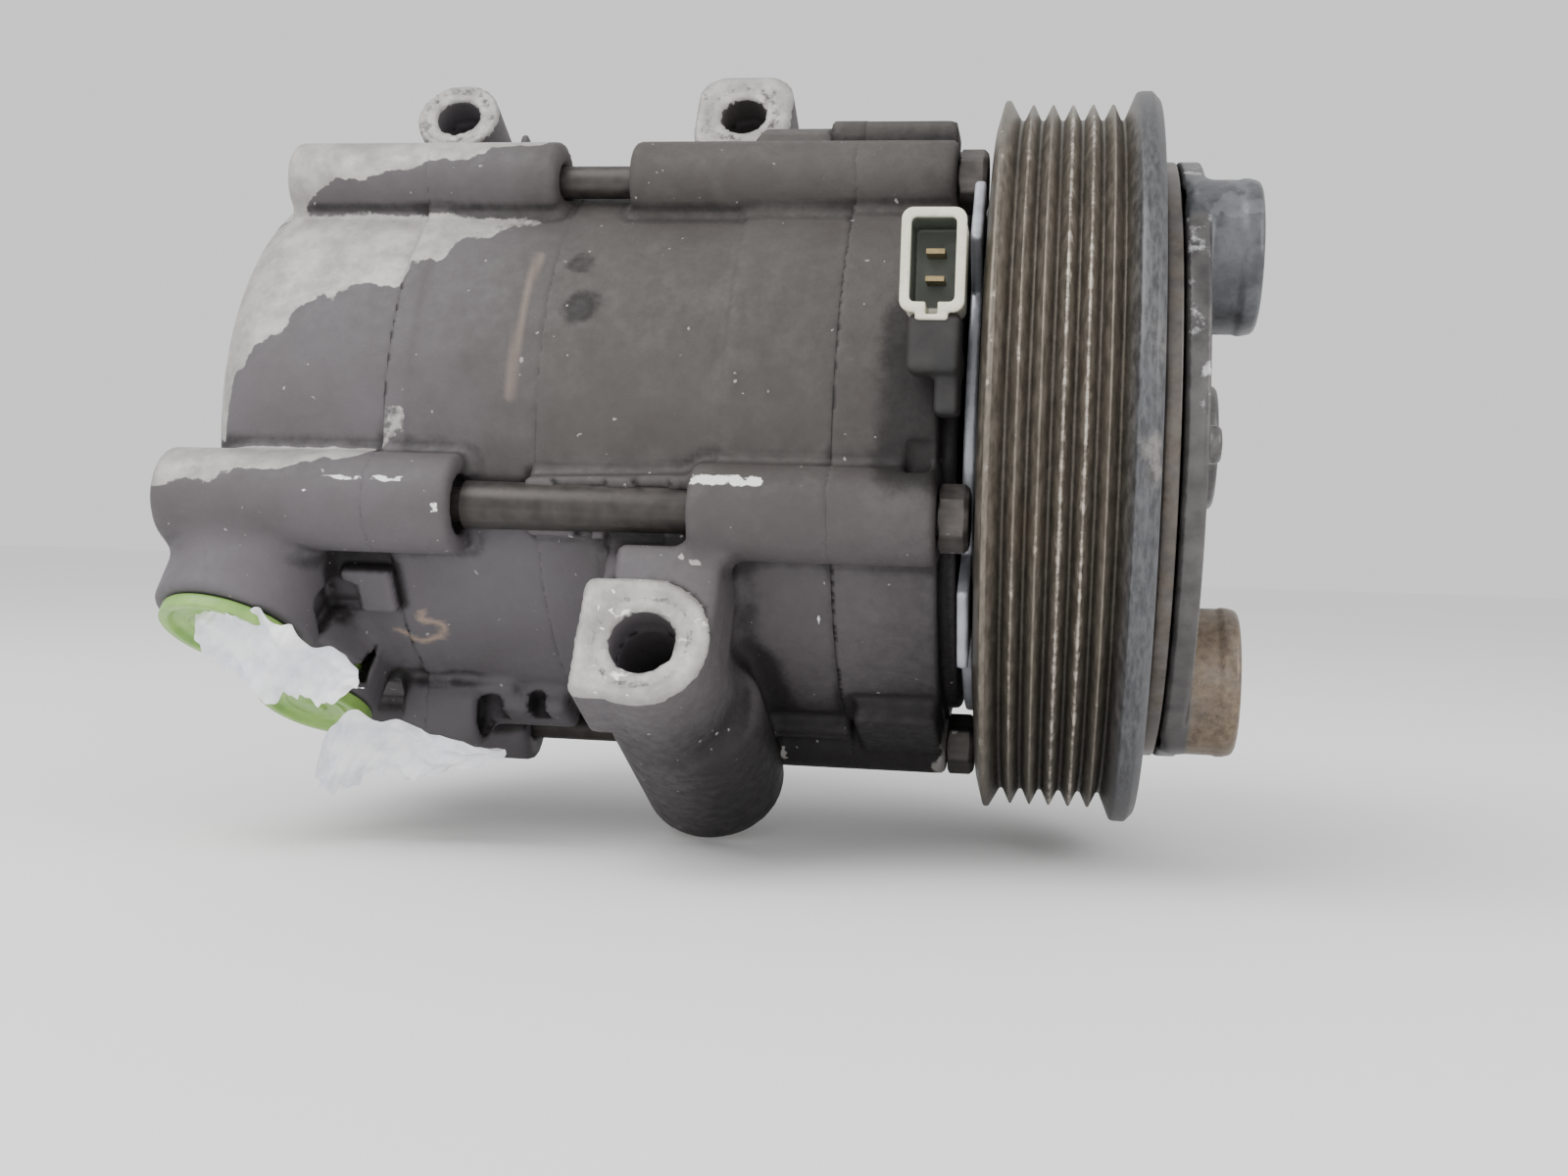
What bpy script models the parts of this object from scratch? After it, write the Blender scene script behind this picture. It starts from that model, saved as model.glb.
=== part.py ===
"""Automotive air-conditioning compressor: five double-ended pistons, a swash plate and a clutch.

X is the shaft axis, from the rear head (x = 0) to the clutch; Z is up. Sizes are in millimetres, and
`finish` turns each mesh into metres. Angles about the shaft run from +Z towards -Y.
"""

from math import atan, cos, pi, radians, sin, sqrt, tan

import bmesh
import bpy
from mathutils import Matrix, Vector

MM = 0.001
GAP = 0.3

# Sides of the round shapes, from the widest to the narrowest
WIDE = 36
MIDDLE = 24
NARROW = 16
THIN = 8
HEXAGON = 6

# Case: joint planes along the shaft and the castings' radii
REAR_FACE = 0.0
REAR_JOINT = 35.0
MID_JOINT = 61.5
FRONT_JOINT = 113.0
FRONT_FACE = 133.0
BARREL_RADIUS = 51.5
FRONT_HEAD_RADIUS = 53.0
INNER_FACE_RADIUS = 48.2
REAR_FLAT_RADIUS = 40.0
DOME_LENGTH = 13.0
TRIM = 12.0

# Case bolts: circle, shank, head and the bosses that they pass through
BOLT_COUNT = 5
BOLT_CIRCLE = 55.0
BOLT_FIRST_ANGLE = 32.0
BOLT_SHANK = 2.9
BOLT_TIP = 18.0
BOLT_SEAT = 130.5
BOLT_HEAD_FLATS = 10.0
BOLT_HEAD_HEIGHT = 5.0
# Each bolt's bosses, as start, end and radius
BOSS_SPANS = (
    ((8.0, 59.0, 7.2), (72.4, BOLT_SEAT, 7.2)),
    ((-3.0, 49.8, 8.6), (90.0, BOLT_SEAT, 8.0)),
    ((15.0, 26.0, 7.3), (31.0, 49.0, 7.3), (90.0, BOLT_SEAT, 5.8)),
    ((6.0, 56.0, 7.3), (88.0, BOLT_SEAT, 7.3)),
    ((8.0, 56.0, 7.3), (76.0, BOLT_SEAT, 7.3)),
)

# The flat pad beside the top bosses
PAD_ANGLE = 20.0
PAD_RADIUS = 56.2

# Mounting lugs: tubes along an axis that leans back and down from the near side
LUG_TILT = radians(28.0)
LUG_AXIS = Vector((0.0, -cos(LUG_TILT), sin(LUG_TILT)))
LUG_UP = Vector((0.0, sin(LUG_TILT), cos(LUG_TILT)))
REAR_LUG = {"x": 24.6, "height": 64.0, "near": 26.0, "far": -35.0, "radius": 8.5, "hole": 4.5, "web": 6.5}
FRONT_LUG = {"x": 84.6, "height": 64.0, "near": 26.0, "far": -35.0, "radius": 10.2, "hole": 4.5, "web": 8.5}
LOWER_LUG = {
    "x": 84.8, "height": -61.5, "near": 42.5, "far": -19.0, "radius": 11.0, "hole": 5.5, "web": 10.0,
}
LEG = {"x": 89.0, "top": 16.0, "radius": 11.6}

# Cylinders, pistons and swash plate
PLATE_CENTRE = (REAR_JOINT + FRONT_JOINT) / 2
PISTON_CIRCLE = 32.5
BORE_RADIUS = 15.3
PISTON_RADIUS = 15.0
STROKE = 20.0
PISTON_LENGTH = FRONT_JOINT - REAR_JOINT - STROKE
PLATE_RADIUS = 39.5
PLATE_HALF = 4.25
PLATE_TILT = atan(STROKE / 2 / PISTON_CIRCLE)
PLATE_PHASE = 55.0
CAVITY_RADIUS = 42.0
CAVITY_HALF = 16.5
SHOE_SPHERE = 8.8
HUB_HALF = 12.0
HUB_RADIUS = 14.0
THRUST_RADIUS = 16.0
NEEDLE_LENGTH = 12.0

# Valve plates and the seats that hold them in the heads
SEAT_RADIUS = 49.7
SEAT_DEPTH = 3.35
VALVE_PLATE_THICKNESS = 2.2
REED_THICKNESS = 0.4
CHAMBER_INNER = 25.0
CHAMBER_OUTER = 46.0
CORE_RADIUS = 21.0
REAR_WALL = 12.0
FRONT_WALL = 127.0

# Shaft and its bearings
SHAFT_RADIUS = 8.0
SHAFT_REAR = 24.0
SHAFT_SHOULDER = 161.2
SHAFT_FRONT = 169.4
HUB_BOLT_SEAT = 169.8
HUB_BOLT_SHANK = 3.0
HUB_BOLT_WELL = 10.0
SPLINE_RADIUS = 6.5
BEARING_BORE = 12.0
NOSE_RADIUS = 19.9
NOSE_FRONT = 160.6
SNAP_GROOVE = NOSE_FRONT - 2.4
SEAL_SEAT = 146.0
SEAL_BORE = 14.0

# Ports on the rear head: one flat pad that faces down, near side and rear
PORT_AXIS = Vector((-0.1, -0.48, -0.87)).normalized()
SUCTION_PORT = Vector((8.8, -53.0, -35.5))
DISCHARGE_PORT = Vector((16.6, -35.0, -49.0))
PORT_DEPTH = 22.0
PORT_BRIDGE_WIDTH = 22.0
SUCTION_BOSS = 14.0
DISCHARGE_BOSS = 11.0
SUCTION_PLUG = 7.7
DISCHARGE_PLUG = 6.5

# Pressure relief valve, on the far side of the rear head
VALVE_ANGLE = 283.0
VALVE_X = 22.0
VALVE_SEAT_RADIUS = 56.0
VALVE_BOSS_RADIUS = 9.0
VALVE_THREAD_RADIUS = 4.7

# Pulley and clutch
BELT_CENTRE = 150.0
BELT_PITCH = 3.56
GROOVES = 6
RIDGE_RADIUS = 65.6
VALLEY_RADIUS = 62.8
REAR_FLANGE = 66.4
FRONT_FLANGE = 67.9
PULLEY_REAR = 136.8
FRICTION_FACE = 165.2
RIM_BORE = 57.4
BEARING_SEAT = 31.3
BEARING_SPAN = (141.0, 157.8)
RACE_INNER = 23.0
RACE_OUTER = 27.6
ARMATURE_REAR = 165.9
ARMATURE_FRONT = 168.6
ARMATURE_BORE = 30.0
HUB_PLATE_REAR = 169.0
HUB_PLATE_FRONT = 173.0
CLUTCH_RADIUS = 55.4
CUP_COUNT = 3
CUP_CIRCLE = 43.3
CUP_FIRST_ANGLE = 38.2
CUP_RADIUS = 13.2
CUP_FRONT = 182.2
CUP_WALL = 1.6
PIN_RADIUS = 3.0

# Coil, its plate and the connector on the near side
COIL_PLATE = (134.0, 136.0)
COIL_PLATE_RADIUS = 48.5
TAB_SIZE = (1.9, 15.0, 20.0)
COIL_BACK = 136.3
COIL_FRONT = 158.0
COIL_INNER = 36.0
COIL_OUTER = 56.3
TAB_ANGLES = (50.0, 122.0, 266.0)
SOCKET_CENTRE = Vector((128.9, -56.0, 27.2))
SOCKET_SIZE = Vector((9.8, 12.4, 16.0))
SOCKET_WALL = 1.3
TERMINAL_SIZE = (3.0, 4.8, 0.8)
FOOT_SIZE = (8.6, 8.0, 9.5)
NECK_SIZE = (4.2, 6.0, 10.0)

ALUMINIUM = ("cast_aluminium", (0.16, 0.145, 0.135), 0.62, 0.6)
BOLT_STEEL = ("bolt_steel", (0.11, 0.1, 0.1), 0.5, 0.9)
GROUND_STEEL = ("ground_steel", (0.55, 0.55, 0.56), 0.25, 1.0)
PULLEY_STEEL = ("pulley_steel", (0.2, 0.17, 0.14), 0.4, 0.95)
CLUTCH_STEEL = ("clutch_steel", (0.14, 0.13, 0.13), 0.45, 0.9)
ZINC_PLATE = ("zinc_plate", (0.55, 0.56, 0.6), 0.35, 0.9)
COIL_RESIN = ("coil_resin", (0.03, 0.03, 0.035), 0.55, 0.0)
COPPER_WIRE = ("copper_wire", (0.6, 0.25, 0.12), 0.35, 1.0)
CREAM_PLASTIC = ("cream_plastic", (0.75, 0.74, 0.62), 0.45, 0.0)
DARK_PLASTIC = ("dark_plastic", (0.05, 0.05, 0.048), 0.5, 0.0)
BRASS = ("brass", (0.7, 0.55, 0.25), 0.3, 1.0)
RUBBER = ("rubber", (0.03, 0.03, 0.03), 0.7, 0.0)
GREEN_PLASTIC = ("green_plastic", (0.3, 0.5, 0.12), 0.4, 0.0)
WHITE_FILM = ("white_film", (0.85, 0.86, 0.9), 0.35, 0.0)


def clear_scene():
    for old in list(bpy.data.objects):
        bpy.data.objects.remove(old, do_unlink=True)


def get_material(finish):
    """One Principled material for each finish, made once."""
    name, colour, roughness, metallic = finish
    material = bpy.data.materials.get(name)
    if material is None:
        material = bpy.data.materials.new(name)
        material.use_nodes = True
        shader = material.node_tree.nodes["Principled BSDF"]
        shader.inputs["Base Color"].default_value = (*colour, 1.0)
        shader.inputs["Roughness"].default_value = roughness
        shader.inputs["Metallic"].default_value = metallic
    return material


def around(angle, radius, x=0.0):
    """The point at an angle (degrees, from +Z towards -Y) and a radius about the shaft."""
    return Vector((x, -radius * sin(radians(angle)), radius * cos(radians(angle))))


def finish(name, bm, look, location=(0.0, 0.0, 0.0)):
    """Turns a bmesh in millimetres into an object in metres, with its origin at `location`."""
    bmesh.ops.recalc_face_normals(bm, faces=bm.faces)
    bmesh.ops.translate(bm, verts=bm.verts, vec=-Vector(location))
    bmesh.ops.scale(bm, verts=bm.verts, vec=(MM, MM, MM))
    mesh = bpy.data.meshes.new(name)
    bm.to_mesh(mesh)
    bm.free()
    mesh.materials.append(get_material(look))
    mesh.shade_smooth()
    mesh.set_sharp_from_angle(angle=radians(30))
    piece = bpy.data.objects.new(name, mesh)
    piece.location = Vector(location) * MM
    bpy.context.scene.collection.objects.link(piece)
    return piece


def helper(name, bm):
    """An object that only adds to or cuts another one."""
    piece = finish(name, bm, ALUMINIUM)
    piece.hide_render = True
    piece.display_type = "WIRE"
    return piece


def combine(piece, operation, *others):
    for other in others:
        step = piece.modifiers.new(other.name, "BOOLEAN")
        step.operation = operation
        step.solver = "EXACT"
        step.object = other


def add_turned(bm, outline, segments=WIDE, matrix=None):
    """Adds a closed outline of (x, radius) points turned about X; radius 0 is a point on the axis."""
    rings = []
    made = []
    for x, radius in outline:
        count = segments if radius else 1
        turns = [2 * pi * i / segments for i in range(count)]
        ring = [bm.verts.new((x, radius * cos(t), radius * sin(t))) for t in turns]
        rings.append(ring)
        made += ring
    for first, second in zip(rings, rings[1:] + rings[:1]):
        if len(first) == len(second) == 1:
            continue
        for i in range(segments):
            j = (i + 1) % segments
            corners = (
                first[i % len(first)], first[j % len(first)],
                second[j % len(second)], second[i % len(second)],
            )
            bm.faces.new(list(dict.fromkeys(corners)))
    if matrix is not None:
        bmesh.ops.transform(bm, matrix=matrix, verts=made)


def turned(name, outline, look, segments=WIDE, location=(0.0, 0.0, 0.0)):
    bm = bmesh.new()
    add_turned(bm, outline, segments)
    return finish(name, bm, look, location)


def ring(name, start, end, inner, outer, look, segments=MIDDLE):
    """A plain ring about the shaft."""
    return turned(name, ((start, inner), (start, outer), (end, outer), (end, inner)), look, segments)


def add_rod(bm, start, end, radius, segments=NARROW):
    """Adds a cylinder between two points."""
    run = Vector(end) - Vector(start)
    turn = run.to_track_quat("Z", "Y").to_matrix().to_4x4()
    place = Matrix.Translation((Vector(start) + Vector(end)) / 2) @ turn
    bmesh.ops.create_cone(
        bm, cap_ends=True, segments=segments, radius1=radius, radius2=radius, depth=run.length, matrix=place
    )


def rod(name, start, end, radius, segments=NARROW):
    bm = bmesh.new()
    add_rod(bm, start, end, radius, segments)
    return helper(name, bm)


def add_block(bm, centre, size, turn=None):
    """Adds a box, turned about its own centre."""
    turn = turn or Matrix.Identity(4)
    place = Matrix.Translation(centre) @ turn @ Matrix.Diagonal((*size, 1.0))
    bmesh.ops.create_cube(bm, size=1.0, matrix=place)


def block(name, centre, size, turn=None):
    bm = bmesh.new()
    add_block(bm, centre, size, turn)
    return helper(name, bm)


def arc_points(centre_x, centre_r, radius_x, radius_r, start, end, steps):
    """Points on an elliptical arc of a turned outline; angles in degrees from +X towards +radius."""
    turns = [radians(start + (end - start) * i / steps) for i in range(steps + 1)]
    return [(centre_x + radius_x * cos(t), centre_r + radius_r * sin(t)) for t in turns]


def bolt_angles():
    return [BOLT_FIRST_ANGLE + 360 / BOLT_COUNT * i for i in range(BOLT_COUNT)]


def bore_angles():
    return [angle + 180 / BOLT_COUNT for angle in bolt_angles()]


def piston_centre(angle):
    """The middle of a piston, where the tilted plate holds it."""
    travel = STROKE / 2 * cos(radians(angle - PLATE_PHASE))
    return around(angle, PISTON_CIRCLE, PLATE_CENTRE + travel)


def plate_normal():
    """The swash plate's own axis, leaning away from the shaft in the phase direction."""
    lean = around(PLATE_PHASE, 1.0)
    return (Vector((1.0, 0.0, 0.0)) * cos(PLATE_TILT) - lean * sin(PLATE_TILT)).normalized()


# Case castings


def add_bosses(bm, low, high):
    """Adds the bolt bosses' cylinders that reach between two stations, a little past both."""
    for angle, spans in zip(bolt_angles(), BOSS_SPANS):
        for start, end, radius in spans:
            start = start if start > low else low - TRIM / 4
            end = end if end < high else high + TRIM / 4
            if end > low and start < high and end > start:
                add_rod(bm, around(angle, BOLT_CIRCLE, start), around(angle, BOLT_CIRCLE, end), radius, 14)


def bosses(name, low, high):
    bm = bmesh.new()
    add_bosses(bm, low, high)
    return helper(name, bm)


def bolt_holes(name, low, high):
    bm = bmesh.new()
    for angle in bolt_angles():
        start, end = around(angle, BOLT_CIRCLE, low), around(angle, BOLT_CIRCLE, high)
        add_rod(bm, start, end, BOLT_SHANK + GAP, THIN)
    return helper(name, bm)


def trim(name, low=None, high=None):
    """Two slabs that cut a casting off square at its joint planes."""
    bm = bmesh.new()
    size = (TRIM * 4, 260.0, 260.0)
    if low is not None:
        add_block(bm, (low + GAP / 2 - size[0] / 2, 0.0, 0.0), size)
    if high is not None:
        add_block(bm, (high - GAP / 2 + size[0] / 2, 0.0, 0.0), size)
    return helper(name, bm)


def lug_point(lug, depth, x_shift=0.0):
    return Vector((lug["x"] + x_shift, 0.0, 0.0)) + LUG_UP * lug["height"] + LUG_AXIS * depth


def lug_parts(name, lug):
    """The tube, the web that ties it to the barrel and the bolt hole of one lug."""
    turn = Matrix((Vector((1, 0, 0)), LUG_AXIS, LUG_UP)).transposed().to_4x4()
    tube = rod(name + "_tube", lug_point(lug, lug["far"]), lug_point(lug, lug["near"]), lug["radius"])
    side = 1.0 if lug["height"] > 0 else -1.0
    inner = side * (BARREL_RADIUS - 12.0)
    depth = lug["near"] - lug["far"] - 12.0
    centre = Vector((lug["x"], 0.0, 0.0)) + LUG_UP * (inner + lug["height"]) / 2
    centre = centre + LUG_AXIS * (lug["near"] + lug["far"]) / 2
    web = block(name + "_web", centre, (lug["web"] * 2, depth, abs(lug["height"] - inner)), turn)
    start, end = lug_point(lug, lug["far"] - TRIM / 2), lug_point(lug, lug["near"] + TRIM / 2)
    hole = rod(name + "_hole", start, end, lug["hole"])
    return tube, web, hole


def bores(name):
    bm = bmesh.new()
    for angle in bore_angles():
        start = around(angle, PISTON_CIRCLE, REAR_JOINT - TRIM)
        add_rod(bm, start, around(angle, PISTON_CIRCLE, FRONT_JOINT + TRIM), BORE_RADIUS)
    return helper(name, bm)


def crank_room(name):
    """The turned room that the swash plate sweeps, with the shaft's bore on both sides."""
    low, high = PLATE_CENTRE - CAVITY_HALF, PLATE_CENTRE + CAVITY_HALF
    outline = (
        (REAR_JOINT - TRIM, 0.0), (REAR_JOINT - TRIM, BEARING_BORE),
        (low, BEARING_BORE), (low, CAVITY_RADIUS), (high, CAVITY_RADIUS), (high, BEARING_BORE),
        (FRONT_JOINT + TRIM, BEARING_BORE), (FRONT_JOINT + TRIM, 0.0),
    )
    bm = bmesh.new()
    add_turned(bm, outline, MIDDLE)
    return helper(name, bm)


def dome_outline(end):
    """The rear head's outside: a flat end, an elliptical shoulder and the straight barrel."""
    height = BARREL_RADIUS - REAR_FLAT_RADIUS
    shoulder = arc_points(DOME_LENGTH, REAR_FLAT_RADIUS, -DOME_LENGTH, height, 0, 90, 5)
    return [(REAR_FACE, 0.0), *shoulder, (end, BARREL_RADIUS), (end, 0.0)]


def head_chambers(name, core, seat, deep, mouth):
    """A head's hollow: its core, the outer ring chamber and the valve plate's seat, out past the mouth."""
    outline = (
        *core, (seat, CORE_RADIUS), (seat, CHAMBER_INNER), (deep, CHAMBER_INNER), (deep, CHAMBER_OUTER),
        (seat, CHAMBER_OUTER), (seat, SEAT_RADIUS), (mouth, SEAT_RADIUS), (mouth, 0.0),
    )
    bm = bmesh.new()
    add_turned(bm, outline, MIDDLE)
    return helper(name, bm)


def port_bore(name, port, depth, plug):
    """A port's bore, cut from just outside its pad; its cap's plug fits it."""
    return rod(name, port + PORT_AXIS * TRIM, port - PORT_AXIS * depth, plug + GAP)


def make_rear_head():
    bm = bmesh.new()
    add_turned(bm, dome_outline(REAR_JOINT + TRIM / 2))
    head = finish("rear_head", bm, ALUMINIUM)
    tube, web, hole = lug_parts("rear_lug", REAR_LUG)
    into = PORT_AXIS * PORT_DEPTH
    first = rod("suction_boss", SUCTION_PORT, SUCTION_PORT - into, SUCTION_BOSS)
    second = rod("discharge_boss", DISCHARGE_PORT, DISCHARGE_PORT - into, DISCHARGE_BOSS)
    between = DISCHARGE_PORT - SUCTION_PORT
    across = between - PORT_AXIS * between.dot(PORT_AXIS)
    side = across.normalized()
    turn = Matrix((side, PORT_AXIS, side.cross(PORT_AXIS))).transposed().to_4x4()
    middle = SUCTION_PORT + across / 2 - PORT_AXIS * (PORT_DEPTH / 2 + 1)
    bridge = block("port_bridge", middle, (across.length, PORT_DEPTH - 2, PORT_BRIDGE_WIDTH), turn)
    outer = around(VALVE_ANGLE, VALVE_SEAT_RADIUS, VALVE_X)
    valve_boss = rod("relief_boss", around(VALVE_ANGLE, 44.0, VALVE_X), outer, VALVE_BOSS_RADIUS)
    swells = bosses("rear_head_bosses", -TRIM, REAR_JOINT)
    combine(head, "UNION", swells, tube, web, bridge, first, second, valve_boss)
    core = ((REAR_WALL, 0.0), (REAR_WALL, CORE_RADIUS))
    valve_bore = around(VALVE_ANGLE, 40.0, VALVE_X), around(VALVE_ANGLE, 60.0, VALVE_X)
    cuts = [
        head_chambers("rear_chambers", core, REAR_JOINT - SEAT_DEPTH, REAR_WALL + 1, REAR_JOINT + TRIM),
        trim("rear_head_trim", high=REAR_JOINT),
        bolt_holes("rear_threads", BOLT_TIP - 2.0, REAR_JOINT + TRIM),
        hole,
        port_bore("suction_bore", SUCTION_PORT, 24.0, SUCTION_PLUG),
        port_bore("discharge_bore", DISCHARGE_PORT, 22.0, DISCHARGE_PLUG),
        rod("relief_bore", *valve_bore, VALVE_THREAD_RADIUS + GAP, THIN),
    ]
    combine(head, "DIFFERENCE", *cuts)
    return head


def make_rear_cylinder():
    low, high = REAR_JOINT, MID_JOINT
    bm = bmesh.new()
    outline = ((low - TRIM / 2, 0.0), (low - TRIM / 2, BARREL_RADIUS), (high + TRIM / 2, BARREL_RADIUS))
    add_turned(bm, (*outline, (high + TRIM / 2, 0.0)))
    case = finish("rear_cylinder", bm, ALUMINIUM)
    combine(case, "UNION", bosses("rear_cylinder_bosses", low, high))
    cuts = [
        crank_room("rear_crank_room"),
        bores("rear_bores"),
        trim("rear_cylinder_trim", low, high),
        bolt_holes("rear_bolt_holes", low - TRIM, high + TRIM),
    ]
    combine(case, "DIFFERENCE", *cuts)
    return case


def make_front_cylinder():
    low, high = MID_JOINT, FRONT_JOINT
    bm = bmesh.new()
    outline = ((low - TRIM / 2, 0.0), (low - TRIM / 2, BARREL_RADIUS), (high + TRIM / 2, BARREL_RADIUS))
    add_turned(bm, (*outline, (high + TRIM / 2, 0.0)))
    case = finish("front_cylinder", bm, ALUMINIUM)
    upper = lug_parts("front_lug", FRONT_LUG)
    lower = lug_parts("lower_lug", LOWER_LUG)
    pad = block("case_pad", around(PAD_ANGLE, PAD_RADIUS, 112.0), (10.0, 12.0, 12.0))
    leg_shift = LEG["x"] - LOWER_LUG["x"]
    leg_start = lug_point(LOWER_LUG, LOWER_LUG["far"] + 0.5, leg_shift)
    leg = rod("leg", leg_start, lug_point(LOWER_LUG, LEG["top"], leg_shift), LEG["radius"])
    parts = (bosses("front_cylinder_bosses", low, high), upper[0], upper[1], lower[0], lower[1], leg, pad)
    combine(case, "UNION", *parts)
    cuts = [
        crank_room("front_crank_room"),
        bores("front_bores"),
        trim("front_cylinder_trim", low, high),
        bolt_holes("front_bolt_holes", low - TRIM, high + TRIM),
        upper[2],
        lower[2],
    ]
    combine(case, "DIFFERENCE", *cuts)
    return case


def make_front_head():
    low = FRONT_JOINT
    bm = bmesh.new()
    groove = (SNAP_GROOVE, SNAP_GROOVE + 1.6)
    outline = (
        (low - TRIM / 2, 0.0), (low - TRIM / 2, FRONT_HEAD_RADIUS), (BOLT_SEAT - GAP, FRONT_HEAD_RADIUS),
        (BOLT_SEAT - GAP, INNER_FACE_RADIUS), (FRONT_FACE, INNER_FACE_RADIUS - 1.5),
        (FRONT_FACE, NOSE_RADIUS), (groove[0], NOSE_RADIUS),
        (groove[0], NOSE_RADIUS - 1.1), (groove[1], NOSE_RADIUS - 1.1), (groove[1], NOSE_RADIUS),
        (NOSE_FRONT, NOSE_RADIUS), (NOSE_FRONT, 0.0),
    )
    add_turned(bm, outline)
    head = finish("front_head", bm, ALUMINIUM)
    pad = block("head_pad", around(PAD_ANGLE, PAD_RADIUS, 120.4), (18.8, 12.0, 12.0))
    combine(head, "UNION", bosses("front_head_bosses", low, FRONT_FACE + TRIM), pad)
    shaft_bore, core_end = SHAFT_RADIUS + 1.2, FRONT_WALL - 5.0
    core = (
        (NOSE_FRONT + TRIM, 0.0), (NOSE_FRONT + TRIM, SEAL_BORE), (SEAL_SEAT, SEAL_BORE),
        (SEAL_SEAT, shaft_bore), (core_end, shaft_bore), (core_end, CORE_RADIUS),
    )
    cuts = [
        head_chambers("front_chambers", core, low + SEAT_DEPTH, FRONT_WALL, low - TRIM),
        trim("front_head_trim", low=low),
        bolt_holes("front_head_holes", low - TRIM, FRONT_FACE + TRIM),
    ]
    combine(head, "DIFFERENCE", *cuts)
    return head


def make_case_bolts():
    """Long bolts with hexagon heads at the front and their threads in the rear head."""
    corner = BOLT_HEAD_FLATS / 2 / cos(pi / 6)
    for index, angle in enumerate(bolt_angles(), 1):
        bm = bmesh.new()
        place = Matrix.Translation(around(angle, BOLT_CIRCLE))
        seat = BOLT_SEAT + GAP
        tip = ((BOLT_TIP, 0.0), (BOLT_TIP, BOLT_SHANK - 0.6), (BOLT_TIP + 1, BOLT_SHANK))
        add_turned(bm, (*tip, (seat + 1, BOLT_SHANK), (seat + 1, 0.0)), THIN, place)
        bolt = finish(f"case_bolt_{index}", bm, BOLT_STEEL, around(angle, BOLT_CIRCLE, BOLT_SEAT))
        bm = bmesh.new()
        end = seat + BOLT_HEAD_HEIGHT
        head = ((seat, 0.0), (seat, corner), (end - 0.6, corner), (end, corner - 1.0), (end, 0.0))
        add_turned(bm, head, HEXAGON, place)
        combine(bolt, "UNION", helper(f"case_bolt_head_{index}", bm))


# Valve plates


def make_valve_plates():
    """A ported plate and a thin reed sheet at each end of the cylinders."""
    for end, joint, side in (("rear", REAR_JOINT, -1.0), ("front", FRONT_JOINT, 1.0)):
        first = joint + side * GAP * 1.5
        reed = sorted((first, first + side * REED_THICKNESS))
        plate_start = first + side * (REED_THICKNESS + GAP)
        plate = sorted((plate_start, plate_start + side * VALVE_PLATE_THICKNESS))
        outer = SEAT_RADIUS - GAP
        inner = BEARING_BORE
        sheet = ring(f"{end}_reed_sheet", *reed, inner, outer, GROUND_STEEL)
        disc = ring(f"{end}_valve_plate", *plate, inner, outer, GROUND_STEEL)
        for piece, shift in ((sheet, 7.0), (disc, 0.0)):
            bm = bmesh.new()
            for angle in bore_angles():
                low = around(angle + shift, PISTON_CIRCLE - 2.0, joint - TRIM)
                add_rod(bm, low, around(angle + shift, PISTON_CIRCLE - 2.0, joint + TRIM), 3.0, THIN)
            combine(piece, "DIFFERENCE", helper(piece.name + "_ports", bm))


# Shaft, swash plate and pistons


def make_shaft():
    rear, shoulder, front = SHAFT_REAR, SHAFT_SHOULDER, SHAFT_FRONT
    thread, depth = HUB_BOLT_SHANK + GAP, front - 14.0
    outline = (
        (rear, 0.0), (rear, SHAFT_RADIUS - 1), (rear + 1, SHAFT_RADIUS), (shoulder, SHAFT_RADIUS),
        (shoulder, SPLINE_RADIUS), (front, SPLINE_RADIUS), (front, thread), (depth, thread), (depth, 0.0),
    )
    turned("shaft", outline, GROUND_STEEL, NARROW)


def make_swash_plate():
    axis = plate_normal()
    turn = axis.to_track_quat("X", "Z").to_matrix().to_4x4()
    place = Matrix.Translation((PLATE_CENTRE, 0.0, 0.0))
    bm = bmesh.new()
    half, rim = PLATE_HALF, PLATE_RADIUS
    add_turned(bm, ((-half, 0.0), (-half, rim), (half, rim), (half, 0.0)), MIDDLE, place @ turn)
    plate = finish("swash_plate", bm, GROUND_STEEL, (PLATE_CENTRE, 0.0, 0.0))
    bm = bmesh.new()
    hub = ((-HUB_HALF, 0.0), (-HUB_HALF, HUB_RADIUS), (HUB_HALF, HUB_RADIUS), (HUB_HALF, 0.0))
    add_turned(bm, hub, NARROW, place)
    combine(plate, "UNION", helper("swash_hub", bm))
    reach = CAVITY_HALF * 2
    hole = rod("swash_bore", (PLATE_CENTRE - reach, 0, 0), (PLATE_CENTRE + reach, 0, 0), SHAFT_RADIUS + GAP)
    combine(plate, "DIFFERENCE", hole)


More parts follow.
